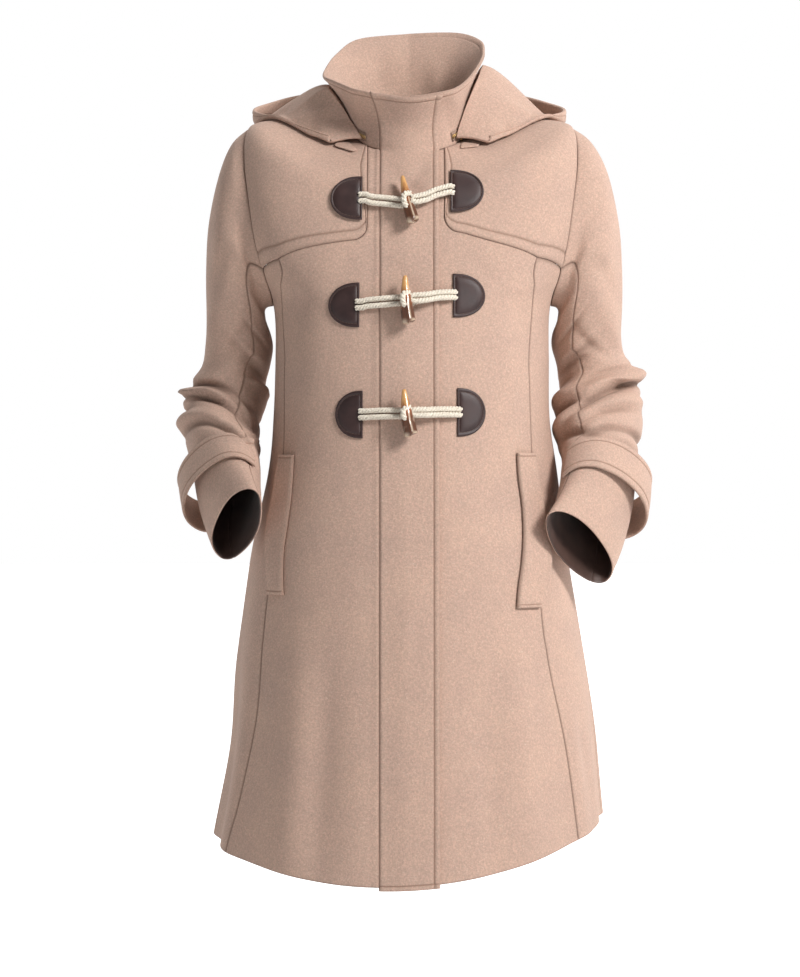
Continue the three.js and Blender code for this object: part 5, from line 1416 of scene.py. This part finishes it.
def smooth_route(points, step):
    """Even stops along a smooth curve through points."""
    fine = rows_at(np.asarray(points), np.linspace(0, len(points) - 1, 40 * len(points)))
    so_far = np.concatenate([[0], np.linalg.norm(np.diff(fine, axis=0), axis=-1).cumsum()])
    stops = np.linspace(0, so_far[-1], int(so_far[-1] / step) + 2)
    return np.stack([np.interp(stops, so_far, fine[:, k]) for k in range(3)], -1), stops


def tube_points(route, radius, corners, up=(0, -1, 0)):
    """Rings of a tube along a route, each square to it, and faces that close its ends."""
    ahead = np.gradient(route, axis=0)
    ahead /= np.linalg.norm(ahead, axis=-1, keepdims=True)
    beside = np.cross(ahead, up)
    beside /= np.linalg.norm(beside, axis=-1, keepdims=True)
    above = np.cross(beside, ahead)
    turn = np.linspace(0, 2 * np.pi, corners, endpoint=False)[:, None]
    ring = np.cos(turn) * beside[:, None] + np.sin(turn) * above[:, None]
    radius = np.broadcast_to(np.asarray(radius, float), len(route))[:, None, None]
    return route[:, None] + radius * ring, beside, above


def rope(name, routes):
    """Three strands wound round each route: each strand's middle is a helix of the cord's pitch."""
    points, faces, start = [], [], 0
    for route_points in routes:
        route, stops = smooth_route(route_points, 1.1)
        _, beside, above = tube_points(route, 1, 4)
        for k in range(3):
            turn = 2 * np.pi * (stops / PITCH + k / 3)
            helix = route + STRAND_OUT * (np.cos(turn)[:, None] * beside + np.sin(turn)[:, None] * above)
            size = np.where((stops < 0.5) | (stops > stops[-1] - 0.5), 1.0, STRAND_RADIUS)
            rings, _, _ = tube_points(helix, size, 8)
            faces.append(grid_faces(len(rings), 8, True)[:, ::-1] + start)
            points.append(rings.reshape(-1, 3))
            start += rings.shape[0] * 8
    return mesh_object(name, np.concatenate(points), np.concatenate(faces), [cotton])


for number, (tip_x, tip_z, foot_x, foot_z) in enumerate(TOGGLES, 1):
    x, z = (tip_x + foot_x) / 2, (tip_z + foot_z) / 2
    straight, _, top, bottom, raised = PATCHES[f"right_{number}"]
    patch_z, half = (top + bottom) / 2, CORD / 2 + STRAND_GAP
    start = straight + 3 * SEAM_GAP
    strand = {
        up: [
            front_point(start - 5, patch_z + up * half, raised + half - 1.2),
            front_point(start + 3, patch_z + up * half, raised + half),
            front_point(start + 9, patch_z + (z - patch_z) * 0.4 + up * half, raised + half + STRAND_GAP),
            front_point(-26, patch_z + (z - patch_z) * 0.7 + up * half, 7),
            front_point(-12, z + up * half, LOOP_LIFT),
            front_point(1, z + up * half, LOOP_LIFT),
        ] for up in (1, -1)
    }
    bight = [front_point(bend, z + up * half, LOOP_LIFT) for bend, up in ((4, 0.6), (5, 0), (4, -0.6))]
    made = rope(f"loop_cord_{number}_rope", [strand[1] + bight + strand[-1][::-1]])
    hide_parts(f"loop_cord_{number}")

    straight, _, top, bottom, raised = PATCHES[f"left_{number}"]
    left_z = (top + bottom) / 2
    lines = []
    for up in (1, -1):
        offset = 0.52 * CORD * up
        lines.append([
            front_point(x + 3, z + 0.6 * offset, TOGGLE_LIFT - 0.5),
            front_point(x + TOGGLE_RADIUS + 2, z + offset, TOGGLE_LIFT - 1),
            front_point(14, z + (left_z - z) * 0.14 + offset, TOGGLE_LIFT - 2),
            front_point(20, z + (left_z - z) * 0.3 + offset, 14),
            front_point(28, z + (left_z - z) * 0.6 + offset, 11.8),
            front_point(36, z + (left_z - z) * 0.8 + offset, 10),
            front_point(straight - 1, left_z + offset, CORD / 2 + 2.4 + raised),
            front_point(straight + 4, left_z + offset, CORD / 2 + raised),
        ])
    through = [(3, 6, 0.5), (-3.4, 3.4, 5.6), (-4.6, -1, 7.4), (-4, -5.4, 6.8), (-1.5, -9, 2)]
    lines.append([front_point(x + right, z + up, TOGGLE_LIFT + off) for right, up, off in through])
    made = rope(f"toggle_cord_{number}_rope", lines)
    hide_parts(f"toggle_cord_{number}")


# Hood, worn down: a doubled bag behind the neck, open at the top, with a band stitched round its
# rim. From the front end at the collar to the middle of the back: its rim, how its outer and
# inner wall hang, and the turn round the neck where it is fixed.
HOOD = np.array([
    [92, -58, -50, 95, -64, -66, 82, -58, -50, 50],
    [125, -38, -36, 130, -42, -56, 98, -44, -26, 64],
    [159, -8, -21, 166, -12, -48, 108, -20, 6, 80],
    [184, 32, -8, 192, 38, -60, 116, 16, 42, 98],
    [172, 76, 6, 187, 98, -95, 124, 78, 16, 118],
    [116, 126, 26, 140, 180, -190, 102, 172, -100, 146],
    [0, 152, 34, 0, 216, -265, 0, 202, -220, 180],
])
HOOD_WALL, HOOD_CLEAR, HOOD_FREE = 4.0, 3.4, -60
HOOD_FOOT_FRONT, HOOD_FOOT_BEHIND = 6, 11
HOOD_SOFTEN = 2.0
# How high it hugs the collar, by rows of its table, for the right half and the left: the share of
# the collar's height where its foot lies, and how much higher its inner wall hangs
HOOD_FOOT_SHARE = np.array([
    [0.1, 0.36, 0.85, 0.6, 0.35, 0.2, 0.1], [0.1, 0.47, 0.78, 0.85, 0.45, 0.2, 0.1],
])
HOOD_UP = np.array([[0, 1, 5, -6, 0, 0, 0], [0, 2, 1, -2, -8, 0, 0]], float)
HOOD_TUCK = 5.0
RIM_BAND = 13.0
HOOD_CUT = (0.58, 0.32, 0.15)
HOOD_DEEP = 300.0
HOOD_CREASES = np.array([
    # share round, share down, half breadths, slant, height
    [0.08, 0.40, 0.018, 0.22, 0.06, -2.6], [0.13, 0.55, 0.016, 0.25, -0.05, 2.2],
    [0.20, 0.42, 0.022, 0.20, 0.08, -2.6],
    [0.28, 0.50, 0.03, 0.25, 0.05, 3.4], [0.37, 0.45, 0.025, 0.25, -0.06, -3.4],
    [0.47, 0.5, 0.04, 0.28, 0.04, 3.6],
    [0.56, 0.46, 0.026, 0.26, 0.05, -3.4], [0.66, 0.52, 0.035, 0.22, -0.05, 3.2],
    [0.75, 0.42, 0.022, 0.24, -0.07, -2.8],
    [0.84, 0.52, 0.018, 0.22, 0.05, 2.2], [0.92, 0.40, 0.018, 0.20, -0.06, -2.4],
])


def shoulder_top(x, y):
    """The height of the shoulders over a point, found by halving, or far below outside them."""
    low, high = np.zeros(x.shape), np.full(x.shape, 4.5)
    for _ in range(20):
        row = (low + high) / 2
        columns = rows_at(BODY, row)
        width = np.where(x < 0, columns[..., 3], columns[..., 4])
        depth = np.where(y < 0, columns[..., 5], columns[..., 6])
        square = columns[..., 7]
        beyond = (np.abs(x) / width) ** square + (np.abs(y) / depth) ** square > 1
        low, high = np.where(beyond, row, low), np.where(beyond, high, row)
    turn = turn_at(x, row)
    turn = np.where(y < 0, turn, np.where(x < 0, -1, 1) * np.pi - turn)
    return np.where(row > 4.49, -1000, plain_body(turn, row)[..., 2])


def plain_hood(share, down):
    """The hood's middle surface: for each share round from the right front to the left, a cubic
    curve from the rim by way of its outer and inner hang to its foot at the collar."""
    side = np.where(share < 0.5, -1, 1)
    bag = np.concatenate([HOOD, HOOD[-2:-1] * [-1, 1, 1, -1, 1, 1, -1, 1, 1, 1]])
    at = (1 - np.abs(2 * share - 1)) * (len(HOOD) - 1)
    v = np.moveaxis(rows_at(bag, at), -1, 0)
    turn = side * np.radians(v[9])
    rim, out, inner = (np.stack([side * v[k], v[k + 1], v[k + 2]], -1) for k in (0, 3, 6))
    lifted = np.where(side > 0, *(np.interp(at, np.arange(7), HOOD_UP[k]) for k in (1, 0)))
    room = HOOD_FOOT_FRONT + (HOOD_FOOT_BEHIND - HOOD_FOOT_FRONT) * smooth(2.5, 5, at)
    room -= HOOD_TUCK * smooth(4.6, 3.2, at)
    foot_share = np.where(side > 0, *(np.interp(at, np.arange(7), HOOD_FOOT_SHARE[k]) for k in (1, 0)))
    foot = plain_collar(turn, foot_share) + collar_out(turn, foot_share) * (room + HOOD_WALL / 2)[..., None]
    inner[..., 2] += lifted
    s, d = (1 - down)[..., None], down[..., None]
    p = s**3 * rim + 3 * s * s * d * out + 3 * s * d * d * inner + d**3 * foot
    clear = HOOD_CLEAR + (HOOD_FREE - HOOD_CLEAR) * smooth(35, 85, p[..., 1])
    floor = shoulder_top(p[..., 0], p[..., 1]) + clear + HOOD_WALL / 2 + YOKE_RAISE
    over = p[..., 2] - floor
    p[..., 2] = floor + (over + np.sqrt(over**2 + HOOD_SOFTEN**2)) / 2
    return p


def grid_out(points):
    """Unit normals of a grid of points."""
    n = np.cross(np.gradient(points, axis=1), np.gradient(points, axis=0))
    return n / np.linalg.norm(n, axis=-1, keepdims=True)


down = stations(np.array([HOOD_DEEP]), STITCHED_EDGE, SEAM_EDGE, 4.2)[0]
extra = RIM_BAND + np.array([-1.4, -0.7, 0, 0.7, 1.4])
down = np.sort(np.concatenate([down, extra]))
round_by = np.linspace(0, 1, 230)
share, depth = np.meshgrid(round_by, down / HOOD_DEEP)
base = plain_hood(share, depth)
out = grid_out(base)
if out[len(down) // 4, 20] @ [0, 0, -1] < 0:
    out = -out
from_rim, from_foot = down[:, None] + 0 * share, HOOD_DEEP - down[:, None] + 0 * share
ends = np.minimum(share, 1 - share) * 760
table = HOOD_CREASES
across_it = (share[..., None] - table[:, 0] - table[:, 4] * (depth[..., None] - table[:, 1])) / table[:, 2]
along_it = (depth[..., None] - table[:, 1]) / table[:, 3]
folds = (table[:, 5] * np.exp(-(across_it**2) - along_it**2)).sum(-1)
waves = 0.8 * np.sin(21 * share + 4 * depth) * smooth(0, 0.2, depth) * smooth(1, 0.8, depth)
band = -0.8 * np.exp(-(((from_rim - RIM_BAND) / 0.9) ** 2)) + 0.5 * np.exp(-(((from_rim - 6) / 4) ** 2))
roll = rolled(np.minimum(np.minimum(from_rim, from_foot), ends), HOOD_WALL)
ease = (folds + waves) * smooth(0, 0.06, np.minimum(share, 1 - share))
outer = base + out * (HOOD_WALL / 2 + ease + band - roll)[..., None]
inner = base + out * (-HOOD_WALL / 2 + ease - band + roll)[..., None]
# Darkened along the rim band's stitching: nap pressed flat there, and painted shade in the groove
nap = 0.75 * np.exp(-(((from_rim - RIM_BAND) / 0.9) ** 2))
hood = closed_sheet("hood_cloth", outer, inner, out, [wool], nap)
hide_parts("hood")
width, length, area = HOOD_CUT
j = np.argmin(np.abs(down - RIM_BAND))
along_thread(outer[j], out[j])
along_thread(inner[j], -out[j])

# Hood tabs: small pointed pieces of the cloth that cover the zip's ends at the hood's corners.
TABS = {
    "right": (np.array([[-88, -64], [-66, -72], [-60, -70], [-70, -60], [-84, -57]], float), ON_YOKE),
    "left": (np.array([[58, -67], [80, -64], [84, -54], [72, -52], [60, -60]], float), ON_YOKE - 1),
}
TAB_THICK = 1.6
TAB_CUT = (0.032, 0.017, 0.00045)
for name, (corners, lifted) in TABS.items():
    ring = np.concatenate([corners, corners[:1]])
    outline = np.concatenate([np.linspace(a, b, 9)[:-1] for a, b in zip(ring[:-1], ring[1:])])
    for _ in range(2):
        outline = (np.roll(outline, 1, 0) + 2 * outline + np.roll(outline, -1, 0)) / 4
    made, _, _ = plate_on_front(
        f"hood_tab_{name}_cloth", outline, lifted, TAB_THICK, lambda distance: 0 * distance, [wool],
    )
    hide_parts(f"hood_tab_{name}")
    width, length, area = TAB_CUT

# Zip that holds the hood on: woven tape with brass teeth beside the collar's foot on each side,
# and a brass slider with its pull, parked on the left.
ZIP_TURNS, ZIP_SHARES, TAPE_THICK = (46, 70), (0.08, 0.24), 1.1
SLIDER_TURN, SLIDER_SHARE, SLIDER_LIFT = 58, 0.16, 2.3
SLIDER_SIZE, PULL_SIZE, PULL_DROP = (6.0, 2.6, 11.0), (3.2, 1.2, 9.0), 4.5
TEETH, TOOTH_SIZE, TOOTH_LIFT = 24, (1.0, 1.2, 3.4), 0.4
BRASS_COLOUR = (0.60, 0.42, 0.20, 1)
TAPE_COLOUR = (0.30, 0.20, 0.15, 1)

brass = bpy.data.materials.new("aged_brass")
nodes, link = new_nodes(brass)
where = nodes.new("ShaderNodeTexCoord").outputs["Object"]
worn_and_highlight_span = noise(nodes, link, where, 700, 3)
shader = set_inputs(nodes.new("ShaderNodeBsdfPrincipled"), Base_Color=BRASS_COLOUR, Metallic=1.0)
link(ramp(nodes, link, worn_and_highlight_span, 0.3, 0.7, 0.25, 0.5), shader.inputs["Roughness"])
show(nodes, link, shader)

tape = bpy.data.materials.new("woven_tape")
nodes, link = new_nodes(tape)
where = nodes.new("ShaderNodeTexCoord").outputs["Object"]
weave = noise(nodes, link, where, 1400, 2)
ribs = set_inputs(nodes.new("ShaderNodeBump"), Strength=0.4, Distance=0.0003)
link(weave, ribs.inputs["Height"])
shader = set_inputs(nodes.new("ShaderNodeBsdfPrincipled"), Base_Color=TAPE_COLOUR, Roughness=0.9)
link(ribs.outputs[0], shader.inputs["Normal"])
show(nodes, link, shader)

BOX = np.array([[x, y, z] for z in (-1, 1) for y in (-1, 1) for x in (-1, 1)]) / 2
BOX_FACES = np.array([[0, 2, 3, 1], [4, 5, 7, 6], [0, 1, 5, 4], [2, 6, 7, 3], [0, 4, 6, 2], [1, 3, 7, 5]])


def boxes(name, places, rights, outs, sizes, finish):
    """Small boxes in one mesh: each at its place, along its right, out and up vectors."""
    ups = np.cross(rights, outs)
    corners = BOX[None] * sizes[:, None]
    points = places[:, None] + corners[..., 0:1] * rights[:, None] + corners[..., 1:2] * outs[:, None]
    points = points + corners[..., 2:3] * ups[:, None]
    faces = (BOX_FACES[None] + 8 * np.arange(len(places))[:, None, None]).reshape(-1, 4)
    one = points[0]
    normal = np.cross(one[2] - one[0], one[3] - one[0])
    if normal @ (one[:4].mean(0) - one.mean(0)) < 0:
        faces = faces[:, ::-1]
    return mesh_object(name, points, faces, [finish])


for name, side in SIDES.items():
    turn, share = np.meshgrid(
        side * np.radians(np.linspace(*ZIP_TURNS, 30)), np.linspace(*ZIP_SHARES, 6)
    )
    out = collar_out(turn, share)
    outer = collar_point(turn, share, SEAM_GAP + TAPE_THICK)
    inner = collar_point(turn, share, SEAM_GAP)
    made = closed_sheet(f"zip_tape_{name}_weave", outer, inner, out, [tape])
    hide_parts(f"zip_tape_{name}")
    turn = side * np.radians(np.linspace(ZIP_TURNS[0] + 0.5, ZIP_TURNS[1] - 0.5, TEETH))
    share = np.full(TEETH, sum(ZIP_SHARES) / 2) + 0.01 * (np.arange(TEETH) % 2 * 2 - 1)
    out = collar_out(turn, share)
    right = np.gradient(collar_point(turn, share * 0 + SLIDER_SHARE), axis=0)
    right /= np.linalg.norm(right, axis=-1, keepdims=True)
    sizes = np.tile(TOOTH_SIZE, (TEETH, 1))
    places = collar_point(turn, share, SEAM_GAP + TAPE_THICK + TOOTH_LIFT)
    boxes(f"zip_teeth_{name}", places, right, out, sizes, brass)

turn = np.radians(np.array([SLIDER_TURN] * 2, float))
share = np.full(2, SLIDER_SHARE)
out = collar_out(turn, share)
right = np.stack([np.cos(turn), np.sin(turn), 0 * turn], -1)
places = collar_point(turn, share, SLIDER_LIFT + SLIDER_SIZE[1] / 2)
places[1] -= [0, 0, PULL_DROP]
sizes = np.array([SLIDER_SIZE, PULL_SIZE])
made = boxes("zip_slider_brass", places, right, out, sizes, brass)
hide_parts("zip_slider")

# Topstitching: rows of short stitches, tone on tone on the cloth and dark brown on the leather.
STITCH_LONG, STITCH_STEP, THREAD = 3.0, 3.7, 0.30
THREAD_CAMEL = (0.34, 0.20, 0.135, 1)
THREAD_BROWN = (0.11, 0.065, 0.05, 1)


def thread_finish(name, colour):
    """Matt spun thread."""
    made = bpy.data.materials.new(name)
    nodes, link = new_nodes(made)
    shader = set_inputs(nodes.new("ShaderNodeBsdfPrincipled"), Base_Color=colour, Roughness=0.8)
    show(nodes, link, shader)
    return made


def stitches(name, lines, finish):
    """Short rounded stitches along lines: each is five rings of six points, thin at its ends."""
    points, faces, start = [], [], 0
    for line, _ in lines:
        so_far = np.concatenate([[0], np.linalg.norm(np.diff(line, axis=0), axis=-1).cumsum()])
        middles = np.arange(STITCH_STEP / 2, so_far[-1] - STITCH_STEP / 2, STITCH_STEP)
        at = middles[:, None] + STITCH_LONG * np.array([-0.5, -0.4, 0, 0.4, 0.5])
        route = np.stack([np.interp(at, so_far, line[:, k]) for k in range(3)], -1)
        ahead = route[:, -1:] - route[:, :1]
        ahead /= np.linalg.norm(ahead, axis=-1, keepdims=True)
        beside = np.cross(ahead, [0.3, 0.5, 0.81])
        beside /= np.linalg.norm(beside, axis=-1, keepdims=True)
        above = np.cross(beside, ahead)
        turn = np.linspace(0, 2 * np.pi, 6, endpoint=False)[:, None]
        ring = np.cos(turn) * beside[:, :, None] + np.sin(turn) * above[:, :, None]
        size = THREAD * np.array([0.25, 0.85, 1, 0.85, 0.25])[:, None, None]
        made = route[:, :, None] + size * ring
        grid = grid_faces(5, 6, True)[:, ::-1]
        faces.append((grid[None] + start + 30 * np.arange(len(middles))[:, None, None]).reshape(-1, 4))
        points.append(made.reshape(-1, 3))
        start += 30 * len(middles)
    return mesh_object(name, np.concatenate(points), np.concatenate(faces), [finish])


stitches("topstitching", stitch_lines, thread_finish("camel_thread", THREAD_CAMEL))
stitches("patch_stitching", leather_lines, thread_finish("brown_thread", THREAD_BROWN))
